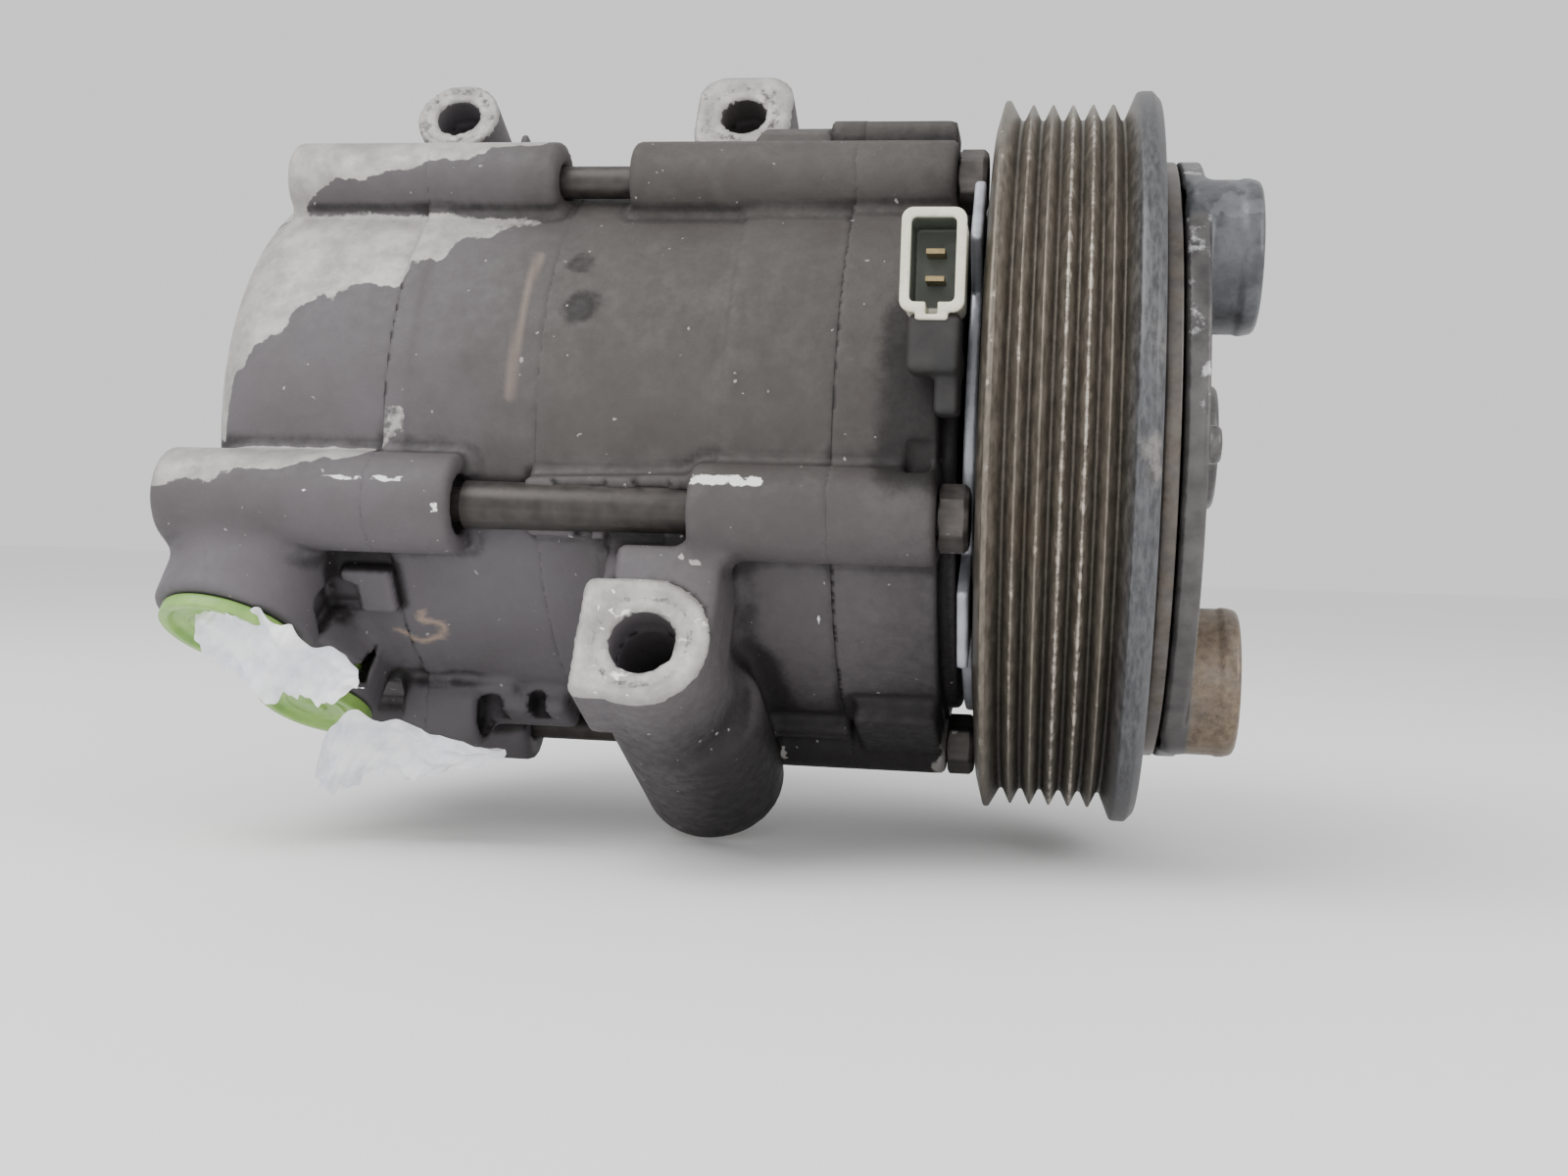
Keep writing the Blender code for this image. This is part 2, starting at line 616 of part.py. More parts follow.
def make_piston(index, angle):
    """A double-ended piston with a waist that straddles the swash plate and two shoe sockets."""
    centre = piston_centre(angle)
    place = Matrix.Translation(centre)
    half = PISTON_LENGTH / 2
    bm = bmesh.new()
    outline = ((-half, 0.0), (-half, PISTON_RADIUS), (half, PISTON_RADIUS), (half, 0.0))
    add_turned(bm, outline, NARROW, place)
    piston = finish(f"piston_{index}", bm, ALUMINIUM, centre)
    bm = bmesh.new()
    reach = PISTON_RADIUS + 1.5
    low = PLATE_HALF / cos(PLATE_TILT) + 0.5
    high = low + reach * tan(PLATE_TILT) + 0.1
    add_turned(bm, ((-low, 0.0), (-high, reach), (high, reach), (low, 0.0)), NARROW, place)
    outward = around(angle, 1.0)
    bridge_side = centre + outward * (PLATE_RADIUS + 0.7 - PISTON_CIRCLE)
    sliced = bmesh.ops.bisect_plane(
        bm, geom=bm.verts[:] + bm.edges[:] + bm.faces[:],
        plane_co=bridge_side, plane_no=outward, clear_outer=True,
    )
    rim = [item for item in sliced["geom_cut"] if isinstance(item, bmesh.types.BMEdge)]
    bmesh.ops.edgenet_fill(bm, edges=rim)
    window = helper(f"piston_window_{index}", bm)
    bm = bmesh.new()
    bmesh.ops.create_uvsphere(bm, u_segments=16, v_segments=10, radius=SHOE_SPHERE + GAP * 2, matrix=place)
    socket = helper(f"shoe_socket_{index}", bm)
    combine(piston, "DIFFERENCE", window, socket)


def make_shoes(index, angle):
    """Two spherical shoes, flat against the two faces of the swash plate."""
    steps = 3
    low = PLATE_HALF + GAP
    turns = [sqrt(SHOE_SPHERE**2 - low**2), low]
    start = atan(turns[0] / turns[1])
    arc = [start * (1 - i / steps) for i in range(steps)]
    cap = [(SHOE_SPHERE * cos(t), SHOE_SPHERE * sin(t)) for t in arc]
    outline = [(low, 0.0), *cap, (SHOE_SPHERE, 0.0)]
    centre = piston_centre(angle)
    for end, axis in (("rear", -plate_normal()), ("front", plate_normal())):
        turn = axis.to_track_quat("X", "Z").to_matrix().to_4x4()
        bm = bmesh.new()
        add_turned(bm, outline, THIN, Matrix.Translation(centre) @ turn)
        finish(f"shoe_{index}_{end}", bm, GROUND_STEEL, centre)


def make_running_gear():
    make_shaft()
    make_swash_plate()
    for index, angle in enumerate(bore_angles(), 1):
        make_piston(index, angle)
        make_shoes(index, angle)
    inner, outer = SHAFT_RADIUS + GAP, BEARING_BORE - GAP
    for end, start in (("rear", REAR_JOINT + 3.0), ("front", FRONT_JOINT - 3.0 - NEEDLE_LENGTH)):
        ring(f"{end}_needle_bearing", start, start + NEEDLE_LENGTH, inner, outer, GROUND_STEEL, NARROW)
    face = CAVITY_HALF - GAP
    hub = HUB_HALF + GAP
    for end, low, high in (("rear", -face, -hub), ("front", hub, face)):
        start, stop = PLATE_CENTRE + low, PLATE_CENTRE + high
        ring(f"{end}_thrust_bearing", start, stop, inner + 1, THRUST_RADIUS, GROUND_STEEL, NARROW)
    start, outer = SEAL_SEAT + 1.0, SEAL_BORE - 0.4
    ring("shaft_seal", start, start + 7.0, inner, outer, RUBBER, NARROW)
    ring("seal_snap_ring", start + 7.4, start + 8.8, inner + 2, outer, GROUND_STEEL, NARROW)


# Pulley, bearing and clutch


def belt_outline():
    """The rim's outside from rear to front: V grooves between two flanges."""
    points = [(PULLEY_REAR, VALLEY_RADIUS - 0.8), (PULLEY_REAR + 1.6, REAR_FLANGE)]
    half = GROOVES / 2
    flat = 0.35
    for groove in range(GROOVES):
        middle = BELT_CENTRE + (groove + 0.5 - half) * BELT_PITCH
        points += [(middle - flat, VALLEY_RADIUS), (middle + flat, VALLEY_RADIUS)]
        if groove < GROOVES - 1:
            ridge = middle + BELT_PITCH / 2
            points.append((ridge, RIDGE_RADIUS))
    edge = FRICTION_FACE - 1.4
    return points + [(edge - 2.2, FRONT_FLANGE), (edge, FRONT_FLANGE), (FRICTION_FACE, FRONT_FLANGE - 1.3)]


def make_pulley():
    web, sleeve = FRICTION_FACE - 5.0, PULLEY_REAR + 2.2
    inside = [
        (FRICTION_FACE, BEARING_SEAT), (sleeve, BEARING_SEAT), (sleeve, COIL_INNER - 1),
        (web, COIL_INNER - 1), (web, RIM_BORE), (PULLEY_REAR, RIM_BORE),
    ]
    turned("pulley", belt_outline() + inside, PULLEY_STEEL, WIDE, (BELT_CENTRE, 0.0, 0.0))


def make_bearing():
    """Two races, and between them one ring that stands for the balls and their cage."""
    start, end = BEARING_SPAN
    inner, outer = NOSE_RADIUS + GAP, BEARING_SEAT - GAP
    ring("bearing_inner_race", start, end, inner, RACE_INNER + 0.4, GROUND_STEEL)
    ring("bearing_outer_race", start, end, RACE_OUTER, outer, GROUND_STEEL)
    ring("bearing_ball_cage", start + 1, end - 1, RACE_INNER + 0.8, RACE_OUTER - 0.4, GROUND_STEEL)
    low, high = SNAP_GROOVE + 0.2, SNAP_GROOVE + 1.4
    ring("bearing_snap_ring", low, high, NOSE_RADIUS - 0.7, RACE_INNER, GROUND_STEEL)


def cup_centres(x):
    return [around(CUP_FIRST_ANGLE + 360 / CUP_COUNT * i, CUP_CIRCLE, x) for i in range(CUP_COUNT)]


def make_hub_plate():
    """The drive plate with its splined hub and three cups for the rubber dampers."""
    bm = bmesh.new()
    hub_rear, hub = SHAFT_SHOULDER + 1.2, 12.0
    outline = (
        (hub_rear, 0.0), (hub_rear, hub), (HUB_PLATE_REAR, hub), (HUB_PLATE_REAR, CLUTCH_RADIUS - 0.6),
        (HUB_PLATE_REAR + 0.6, CLUTCH_RADIUS), (HUB_PLATE_FRONT - 0.6, CLUTCH_RADIUS),
        (HUB_PLATE_FRONT, CLUTCH_RADIUS - 0.6), (HUB_PLATE_FRONT, 0.0),
    )
    add_turned(bm, outline)
    plate = finish("hub_plate", bm, CLUTCH_STEEL, (HUB_PLATE_REAR, 0.0, 0.0))
    bm = bmesh.new()
    edge = 1.2
    for centre in cup_centres(0.0):
        cup = (
            (HUB_PLATE_REAR + 1, 0.0), (HUB_PLATE_REAR + 1, CUP_RADIUS), (CUP_FRONT - edge, CUP_RADIUS),
            (CUP_FRONT, CUP_RADIUS - edge), (CUP_FRONT, 0.0),
        )
        add_turned(bm, cup, NARROW, Matrix.Translation(centre))
    cups = helper("cup_shells", bm)
    bm = bmesh.new()
    for centre in cup_centres(0.0):
        start = Vector((HUB_PLATE_REAR - TRIM, 0.0, 0.0)) + centre
        end = Vector((CUP_FRONT - CUP_WALL, 0.0, 0.0)) + centre
        add_rod(bm, start, end, CUP_RADIUS - CUP_WALL)
    low, bore = hub_rear - TRIM, SPLINE_RADIUS + GAP
    well = ((HUB_BOLT_SEAT, bore), (HUB_BOLT_SEAT, HUB_BOLT_WELL), (CUP_FRONT, HUB_BOLT_WELL))
    add_turned(bm, ((low, 0.0), (low, bore), *well, (CUP_FRONT, 0.0)), NARROW)
    combine(plate, "UNION", cups)
    combine(plate, "DIFFERENCE", helper("cup_hollows", bm))
    for index, centre in enumerate(cup_centres(0.0), 1):
        bm = bmesh.new()
        low, high = HUB_PLATE_REAR + 1, CUP_FRONT - CUP_WALL - GAP
        inner, outer = PIN_RADIUS + GAP + 0.2, CUP_RADIUS - CUP_WALL - GAP
        outline = ((low, inner), (low, outer), (high, outer), (high, inner))
        add_turned(bm, outline, NARROW, Matrix.Translation(centre))
        finish(f"rubber_damper_{index}", bm, RUBBER, centre)


def make_armature():
    """The friction plate that the coil pulls back, with a pin for each rubber damper."""
    bm = bmesh.new()
    low, high, inner = ARMATURE_REAR, ARMATURE_FRONT, ARMATURE_BORE
    add_turned(bm, ((low, inner), (low, CLUTCH_RADIUS), (high, CLUTCH_RADIUS), (high, inner)))
    plate = finish("armature_plate", bm, CLUTCH_STEEL, (ARMATURE_REAR, 0.0, 0.0))
    bm = bmesh.new()
    for centre in cup_centres(0.0):
        start = Vector((ARMATURE_REAR + 1, 0.0, 0.0)) + centre
        add_rod(bm, start, Vector((CUP_FRONT - 4, 0.0, 0.0)) + centre, PIN_RADIUS, THIN)
    combine(plate, "UNION", helper("armature_pins", bm))


def make_hub_fasteners():
    seat = HUB_BOLT_SEAT + GAP
    bm = bmesh.new()
    tip = SHAFT_FRONT - 10
    shank = ((tip, 0.0), (tip, HUB_BOLT_SHANK), (seat + 0.5, HUB_BOLT_SHANK), (seat + 0.5, 0.0))
    add_turned(bm, shank, THIN)
    bolt = finish("hub_bolt", bm, BOLT_STEEL, (seat, 0.0, 0.0))
    bm = bmesh.new()
    corner = BOLT_HEAD_FLATS / 2 / cos(pi / 6)
    add_turned(bm, ((seat + 1, 0.0), (seat + 1, corner), (seat + 5.5, corner), (seat + 5.5, 0.0)), HEXAGON)
    head = helper("hub_bolt_head", bm)
    bm = bmesh.new()
    washer = HUB_BOLT_WELL - 1.5
    add_turned(bm, ((seat, 0.0), (seat, washer), (seat + 1.6, washer), (seat + 1.6, 0.0)), NARROW)
    combine(bolt, "UNION", helper("hub_bolt_washer", bm), head)
    low = SHAFT_SHOULDER + GAP
    ring("clutch_shim", low, low + 0.5, SPLINE_RADIUS + GAP, SHAFT_RADIUS, GROUND_STEEL, NARROW)


# Coil and connector


def make_coil():
    """A steel trough with the winding in it, and the zinc plate that holds it on the front head."""
    wall = 3.0
    trough = (
        (COIL_BACK, COIL_INNER), (COIL_FRONT, COIL_INNER), (COIL_FRONT, COIL_INNER + wall),
        (COIL_BACK + wall, COIL_INNER + wall), (COIL_BACK + wall, COIL_OUTER - wall),
        (COIL_FRONT, COIL_OUTER - wall), (COIL_FRONT, COIL_OUTER), (COIL_BACK, COIL_OUTER),
    )
    turned("coil_housing", trough, CLUTCH_STEEL, MIDDLE)
    inner, outer = COIL_INNER + wall + GAP, COIL_OUTER - wall - GAP
    ring("coil_winding", COIL_BACK + wall + GAP, COIL_FRONT - 1, inner, outer, COPPER_WIRE)
    low, high = COIL_PLATE
    plate = ring("coil_plate", low, high, NOSE_RADIUS + GAP, COIL_PLATE_RADIUS, ZINC_PLATE)
    bm = bmesh.new()
    for angle in TAB_ANGLES:
        turn = Matrix.Rotation(radians(angle), 4, "X")
        add_block(bm, around(angle, COIL_PLATE_RADIUS + 1.5, (low + high) / 2), TAB_SIZE, turn)
    combine(plate, "UNION", helper("coil_tabs", bm))


def make_connector():
    """A cream shell with an open mouth on the near side, its dark foot and two blades."""
    bm = bmesh.new()
    add_block(bm, SOCKET_CENTRE, SOCKET_SIZE)
    bmesh.ops.bevel(
        bm, geom=[edge for edge in bm.edges if abs(edge.verts[0].co.y - edge.verts[1].co.y) > 1],
        offset=1.5, segments=3, profile=0.5, affect="EDGES",
    )
    shell = finish("connector", bm, CREAM_PLASTIC, SOCKET_CENTRE)
    floor = 2.0
    size = SOCKET_SIZE - Vector((SOCKET_WALL * 2, floor - TRIM / 2, SOCKET_WALL * 2))
    hollow = block("connector_hollow", SOCKET_CENTRE - Vector((0, (floor + TRIM / 2) / 2, 0)), size)
    notch_place = SOCKET_CENTRE + Vector((0, -SOCKET_SIZE.y / 2, -SOCKET_SIZE.z / 2))
    notch = block("connector_notch", notch_place, (3.0, 6.0, 4.0))
    combine(shell, "DIFFERENCE", hollow, notch)
    back = SOCKET_CENTRE.y + SOCKET_SIZE.y / 2 - floor - GAP
    for index, shift in enumerate((-2.2, 2.2), 1):
        bm = bmesh.new()
        middle = (SOCKET_CENTRE.x, back - TERMINAL_SIZE[1] / 2, SOCKET_CENTRE.z + shift)
        add_block(bm, middle, TERMINAL_SIZE)
        finish(f"terminal_{index}", bm, BRASS, (SOCKET_CENTRE.x, back, SOCKET_CENTRE.z + shift))
    top = SOCKET_CENTRE.z - SOCKET_SIZE.z / 2 - GAP
    bm = bmesh.new()
    place = Vector((SOCKET_CENTRE.x + 0.5, SOCKET_CENTRE.y - 1.5, top))
    add_block(bm, place - Vector((0, 0, FOOT_SIZE[2] / 2)), FOOT_SIZE)
    foot = finish("connector_foot", bm, DARK_PLASTIC, place)
    bm = bmesh.new()
    add_block(bm, place + Vector((2.2, 0.9, -FOOT_SIZE[2] - 1.5)), NECK_SIZE)
    combine(foot, "UNION", helper("connector_neck", bm))


# Rear fittings


def make_relief_valve():
    """A hexagonal pressure relief valve, screwed in on the far side."""
    turn = around(VALVE_ANGLE, 1.0).to_track_quat("X", "Z").to_matrix().to_4x4()
    place = Matrix.Translation((VALVE_X, 0.0, 0.0)) @ turn
    bm = bmesh.new()
    seat, thread = VALVE_SEAT_RADIUS + GAP, VALVE_THREAD_RADIUS
    low, high = seat - 8.8, seat + 1.2
    add_turned(bm, ((low, 0.0), (low, thread), (high, thread), (high, 0.0)), THIN, place)
    valve = finish("relief_valve", bm, BRASS, around(VALVE_ANGLE, seat, VALVE_X))
    bm = bmesh.new()
    corner, top, tip = 8.0, seat + 6.2, seat + 7.7
    head = ((seat, 0.0), (seat, corner), (top, corner), (top, 4.0), (tip, 4.0), (tip, 0.0))
    add_turned(bm, head, HEXAGON, place)
    combine(valve, "UNION", helper("relief_hex", bm))


def make_port_cap(name, port, flange, plug):
    """A push-in plastic plug that closes a port: a shallow dish with a stem."""
    turn = PORT_AXIS.to_track_quat("X", "Z").to_matrix().to_4x4()
    bm = bmesh.new()
    outline = (
        (-8.0, 0.0), (-8.0, plug - 0.6), (-7.4, plug), (GAP, plug), (GAP, flange),
        (2.6, flange), (2.6, flange - 2.0), (1.5, flange - 2.4), (1.5, 0.0),
    )
    add_turned(bm, outline, NARROW, Matrix.Translation(port) @ turn)
    return finish(name, bm, GREEN_PLASTIC, port)


def make_port_film(name, centre, size):
    """A scrap of torn film below a cap, as a plain rounded solid."""
    bm = bmesh.new()
    turn = PORT_AXIS.to_track_quat("X", "Z").to_matrix().to_4x4()
    shape = Matrix.Translation(centre) @ turn @ Matrix.Diagonal((*size, 1.0))
    bmesh.ops.create_icosphere(bm, subdivisions=2, radius=1.0, matrix=shape)
    return finish(name, bm, WHITE_FILM, centre)


def make_port_closures():
    make_port_cap("suction_cap", SUCTION_PORT, SUCTION_BOSS - 1.7, SUCTION_PLUG)
    make_port_cap("discharge_cap", DISCHARGE_PORT, DISCHARGE_BOSS - 0.6, DISCHARGE_PLUG)
    below = PORT_AXIS * 8.8
    make_port_film("suction_film", SUCTION_PORT + below + Vector((6.0, 0.0, 0.0)), (4.0, 9.0, 10.0))
    make_port_film("discharge_film", DISCHARGE_PORT + below + Vector((10.0, 0.0, 0.0)), (4.0, 9.0, 11.0))


clear_scene()
make_rear_head()
make_rear_cylinder()
make_front_cylinder()
make_front_head()
make_case_bolts()
make_valve_plates()
make_running_gear()
make_pulley()
make_bearing()
make_hub_plate()
make_armature()
make_hub_fasteners()
make_coil()
make_connector()
make_relief_valve()
make_port_closures()
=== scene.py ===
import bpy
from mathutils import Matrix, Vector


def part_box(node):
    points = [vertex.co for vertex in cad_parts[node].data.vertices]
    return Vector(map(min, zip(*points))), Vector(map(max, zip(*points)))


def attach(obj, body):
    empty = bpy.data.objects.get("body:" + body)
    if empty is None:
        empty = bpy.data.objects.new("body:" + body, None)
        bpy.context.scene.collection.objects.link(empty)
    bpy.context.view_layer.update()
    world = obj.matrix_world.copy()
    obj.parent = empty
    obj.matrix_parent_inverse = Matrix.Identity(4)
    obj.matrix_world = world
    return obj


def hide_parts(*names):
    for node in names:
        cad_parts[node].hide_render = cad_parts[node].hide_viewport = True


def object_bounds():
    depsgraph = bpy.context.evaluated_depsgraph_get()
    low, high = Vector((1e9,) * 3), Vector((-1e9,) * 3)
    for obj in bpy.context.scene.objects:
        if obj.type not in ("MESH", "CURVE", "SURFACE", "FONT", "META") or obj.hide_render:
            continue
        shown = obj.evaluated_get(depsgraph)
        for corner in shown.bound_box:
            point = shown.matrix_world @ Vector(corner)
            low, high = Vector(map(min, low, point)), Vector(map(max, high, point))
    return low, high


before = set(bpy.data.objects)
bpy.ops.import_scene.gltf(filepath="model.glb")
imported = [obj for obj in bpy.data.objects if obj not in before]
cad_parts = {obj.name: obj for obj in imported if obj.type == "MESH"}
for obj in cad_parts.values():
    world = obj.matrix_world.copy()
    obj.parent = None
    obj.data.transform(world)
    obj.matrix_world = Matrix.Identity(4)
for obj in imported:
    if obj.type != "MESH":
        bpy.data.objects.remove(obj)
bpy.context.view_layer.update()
# Air-conditioning compressor for a car: cast case, belt pulley, clutch, coil connector and two capped ports.
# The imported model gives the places. Lengths here are in millimetres, and makeMesh turns them into metres.
import math

import bpy
import numpy as np
from mathutils import Matrix, Vector

mm = 0.001
print("frame loaded")


def unit(v):
    v = np.asarray(v, float)
    return v / np.linalg.norm(v)


# the point at an angle in degrees from +Z towards -Y, at a radius and a station along the shaft
def around(angle, radius, x=0.0):
    a = math.radians(angle)
    return np.array((x, -radius * math.sin(a), radius * math.cos(a)))


# three unit rows: the given axis first, then two that are square to it
def axesAlong(axis, hint=(0.0, 0.0, 1.0)):
    first = unit(axis)
    third = unit(np.asarray(hint, float) - np.dot(hint, first) * first)
    return np.array((first, np.cross(third, first), third))


def cadBox(node):
    low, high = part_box(node)
    return np.array(low) / mm, np.array(high) / mm


# 0 below low, 1 above high, and a smooth S between them
def rise(value, low, high):
    t = np.clip((value - low) / (high - low), 0, 1)
    return t * t * (3 - 2 * t)


# a quiet bumpy value from -1 to 1: a sum of sines in turned directions, each shorter than the last
def ripple(p, size, seed=0.0):
    total = np.zeros(len(p))
    for k in range(5):
        turn = seed + 1.7 * k
        way = np.array((math.cos(turn), math.sin(1.3 * turn), math.sin(turn) * 0.8 + 0.3))
        cross = np.array((math.sin(2.1 * turn), math.cos(turn + 0.4), -math.cos(1.9 * turn)))
        step = 6.283 / (size / (1 + 0.55 * k))
        total += np.sin(p @ way * step + turn) * np.sin(p @ cross * step * 0.8 + 2 * turn)
    return total / 3


def makeMesh(name, verts, faces, body, material, smooth=True, paint=None):
    mesh = bpy.data.meshes.new(name)
    mesh.from_pydata([], [], [])
    verts = np.asarray(verts, np.float32) * mm
    faces = [f for f in faces if len(f)]
    corners = np.concatenate([f.ravel() for f in faces])
    sizes = np.concatenate([np.full(len(f), f.shape[1]) for f in faces])
    mesh.vertices.add(len(verts))
    mesh.vertices.foreach_set("co", verts.ravel())
    mesh.loops.add(len(corners))
    mesh.loops.foreach_set("vertex_index", corners.astype(np.int32))
    mesh.polygons.add(len(sizes))
    mesh.polygons.foreach_set("loop_start", (np.cumsum(sizes) - sizes).astype(np.int32))
    mesh.update(calc_edges=True)
    mesh.validate()
    for key, values in (paint or {}).items():
        layer = mesh.attributes.new(key, "FLOAT", "POINT")
        layer.data.foreach_set("value", np.asarray(values, np.float32))
    mesh.materials.append(material)
    if smooth:
        mesh.shade_smooth()
    piece = bpy.data.objects.new(name, mesh)
    bpy.context.scene.collection.objects.link(piece)
    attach(piece, body)
    return piece


# an outline with its corners eased: each corner becomes a short curve that leaves it by at most the given cut
def eased(points, cut, steps=3):
    points = [np.asarray(q, float) for q in points]
    made = [points[0]]
    for before, here, after in zip(points, points[1:], points[2:]):
        back, on = before - here, after - here
        reach = min(cut, np.linalg.norm(back) * 0.45, np.linalg.norm(on) * 0.45)
        start, end = here + unit(back) * reach, here + unit(on) * reach
        for i in range(steps + 1):
            t = i / steps
            made.append((1 - t) ** 2 * start + 2 * t * (1 - t) * here + t * t * end)
    made.append(points[-1])
    return np.array(made)


# A turned surface: a profile of (station, radius) carried round an axis. Each point is the centre, plus the
# station along the axis, plus the radius times shape(turn) in the plane square to it. A closed profile makes
# a ring, and an open one starts and ends on the axis.
def turnedGrid(profile, centre=(0, 0, 0), axis=(1, 0, 0), count=96, shape=None, closed=False, phase=0.0):
    rows = axesAlong(axis)
    turns = np.arange(count) * 2 * math.pi / count + phase
    wide = np.ones(count) if shape is None else shape(turns)
    inner = profile if closed else profile[1:-1]
    ring = np.cos(turns)[:, None] * rows[1] + np.sin(turns)[:, None] * rows[2]
    scale = inner[:, 1][:, None] * wide[None, :]
    if inner.shape[1] > 2:
        scale = inner[:, 1][:, None] * (1 + (wide[None, :] - 1) * inner[:, 2][:, None])
    verts = (inner[:, 0][:, None, None] * rows[0] + scale[..., None] * ring[None]).reshape(-1, 3)
    rowsCount = len(inner)
    i = np.arange(rowsCount if closed else rowsCount - 1)[:, None]
    j = np.arange(count)[None, :]
    nextRow, nextTurn = (i + 1) % rowsCount, (j + 1) % count
    corners = (i * count + j, i * count + nextTurn, nextRow * count + nextTurn, nextRow * count + j)
    quads = np.stack(corners, -1).reshape(-1, 4)
    tris = np.zeros((0, 3), int)
    if not closed:
        poles = np.array((rows[0] * profile[0][0], rows[0] * profile[-1][0]))
        verts = np.concatenate((verts, poles))
        j = np.arange(count)
        first, last = len(verts) - 2, len(verts) - 1
        low = np.stack((np.full(count, first), (j + 1) % count, j), -1)
        base = (rowsCount - 1) * count
        high = np.stack((np.full(count, last), base + j, base + (j + 1) % count), -1)
        tris = np.concatenate((low, high))
    return verts + np.asarray(centre, float), quads, tris


# several closed grids as one mesh; a grid whose volume comes out negative is turned the right way
def joinGrids(grids):
    verts, quads, tris, base = [], [], [], 0
    for v, q, t in grids:
        volume = 0.0
        for f in (q[:, :3], q[:, [0, 2, 3]], t):
            if len(f):
                volume += np.einsum("ij,ij->i", v[f[:, 0]], np.cross(v[f[:, 1]], v[f[:, 2]])).sum()
        if volume < 0:
            q, t = q[:, ::-1], t[:, ::-1]
        verts.append(v)
        quads.append(q + base)
        tris.append(t + base)
        base += len(v)
    return np.concatenate(verts), [np.concatenate(quads), np.concatenate(tris)]


# distance to the edge where two slabs meet, with that edge rounded
def corner(a, b, rounding=0.0):
    a, b = a + rounding, b + rounding
    return np.minimum(np.maximum(a, b), 0) + np.hypot(np.maximum(a, 0), np.maximum(b, 0)) - rounding


# distance to a round bar between two points
def bar(p, start, end, radius, rounding=0.0):
    start, end = np.asarray(start, float), np.asarray(end, float)
    length = np.linalg.norm(end - start)
    rel = p - (start + end) / 2
    along = rel @ ((end - start) / length)
    off = np.sqrt(np.maximum(np.einsum("ij,ij->i", rel, rel) - along ** 2, 0))
    return corner(off - radius, np.abs(along) - length / 2, rounding)


# distance to a block; its sides follow the rows of axes
def block(p, centre, size, axes=None, rounding=0.0):
    rel = p - np.asarray(centre, float)
    if axes is not None:
        rel = rel @ np.asarray(axes).T
    q = np.abs(rel) - np.asarray(size, float) / 2 + rounding
    return np.sqrt((np.maximum(q, 0) ** 2).sum(1)) + np.minimum(q.max(1), 0) - rounding


# distance to a plate with a rounded rectangle for its outline; the first row of axes is its thickness
def plaque(p, centre, size, axes, rounding, edge=0.4):
    rel = (p - np.asarray(centre, float)) @ np.asarray(axes).T
    q = np.abs(rel[:, 1:]) - np.asarray(size[1:], float) / 2 + rounding
    flat = np.sqrt((np.maximum(q, 0) ** 2).sum(1)) + np.minimum(q.max(1), 0) - rounding
    return corner(flat, np.abs(rel[:, 0]) - size[0] / 2, edge)


# distance to a ring about the shaft
def hoop(p, low, high, inner, outer, rounding=0.0):
    off = np.hypot(p[:, 1], p[:, 2])
    across = np.abs(off - (inner + outer) / 2) - (outer - inner) / 2
    return corner(across, np.abs(p[:, 0] - (low + high) / 2) - (high - low) / 2, rounding)


# the union of two fields with a cast fillet between them
def melt(a, b, fillet=3.0):
    h = np.clip(0.5 + 0.5 * (b - a) / fillet, 0, 1)
    return b * (1 - h) + a * h - fillet * h * (1 - h)


# the first field with the second one taken out of it
def carve(a, b, fillet=0.3):
    return -melt(-a, b, fillet)


# A field's zero skin as a closed quad mesh: one vertex in each grid cell that the skin crosses, at the mean
# of the crossings on the cell's edges, and one quad round each grid edge that the skin cuts.
def skin(field, low, high, step):
    low, high = np.asarray(low, float) - 2.13 * step, np.asarray(high, float) + 2.13 * step
    counts = np.ceil((high - low) / step).astype(int) + 1
    lines = [low[a] + step * np.arange(counts[a]) for a in range(3)]
    values = np.empty(counts, np.float32)
    for i, x in enumerate(lines[0]):
        y, z = np.meshgrid(lines[1], lines[2], indexing="ij")
        slab = np.stack((np.full(y.size, x), y.ravel(), z.ravel()), -1)
        values[i] = field(slab).reshape(counts[1:])
    soilAndShade = values < 0
    total = np.zeros(counts - 1, np.int8)
    for a in (0, 1):
        for b in (0, 1):
            for c in (0, 1):
                total += soilAndShade[a:counts[0] - 1 + a, b:counts[1] - 1 + b, c:counts[2] - 1 + c]
    cells = np.argwhere((total > 0) & (total < 8))
    ids = np.full(counts - 1, -1, np.int64)
    ids[tuple(cells.T)] = np.arange(len(cells))
    place, hits = np.zeros((len(cells), 3)), np.zeros(len(cells))
    for axis in range(3):
        for b in (0, 1):
            for c in (0, 1):
                start = np.zeros(3, int)
                start[(axis + 1) % 3], start[(axis + 2) % 3] = b, c
                end = start.copy()
                end[axis] = 1
                v0, v1 = values[tuple((cells + start).T)], values[tuple((cells + end).T)]
                cut = (v0 < 0) != (v1 < 0)
                t = v0 / np.where(cut, v0 - v1, 1)
                place += ((cells + start) + (end - start) * t[:, None]) * cut[:, None]
                hits += cut
    verts = low + step * place / hits[:, None]
    quads = []
    for axis in range(3):
        one, two = (axis + 1) % 3, (axis + 2) % 3
        ahead = [slice(None)] * 3
        behind = [slice(None)] * 3
        ahead[axis], behind[axis] = slice(1, None), slice(None, -1)
        change = soilAndShade[tuple(behind)].astype(np.int8) - soilAndShade[tuple(ahead)]
        edges = np.argwhere(change != 0)
        way = change[tuple(edges.T)]
        off = np.eye(3, dtype=int)
        ring = [edges - off[one] - off[two], edges - off[two], edges, edges - off[one]]
        found = np.stack([ids[tuple(r.T)] for r in ring], -1)
        quads.append(np.where((way > 0)[:, None], found, found[:, ::-1]))
    return verts, np.concatenate(quads)


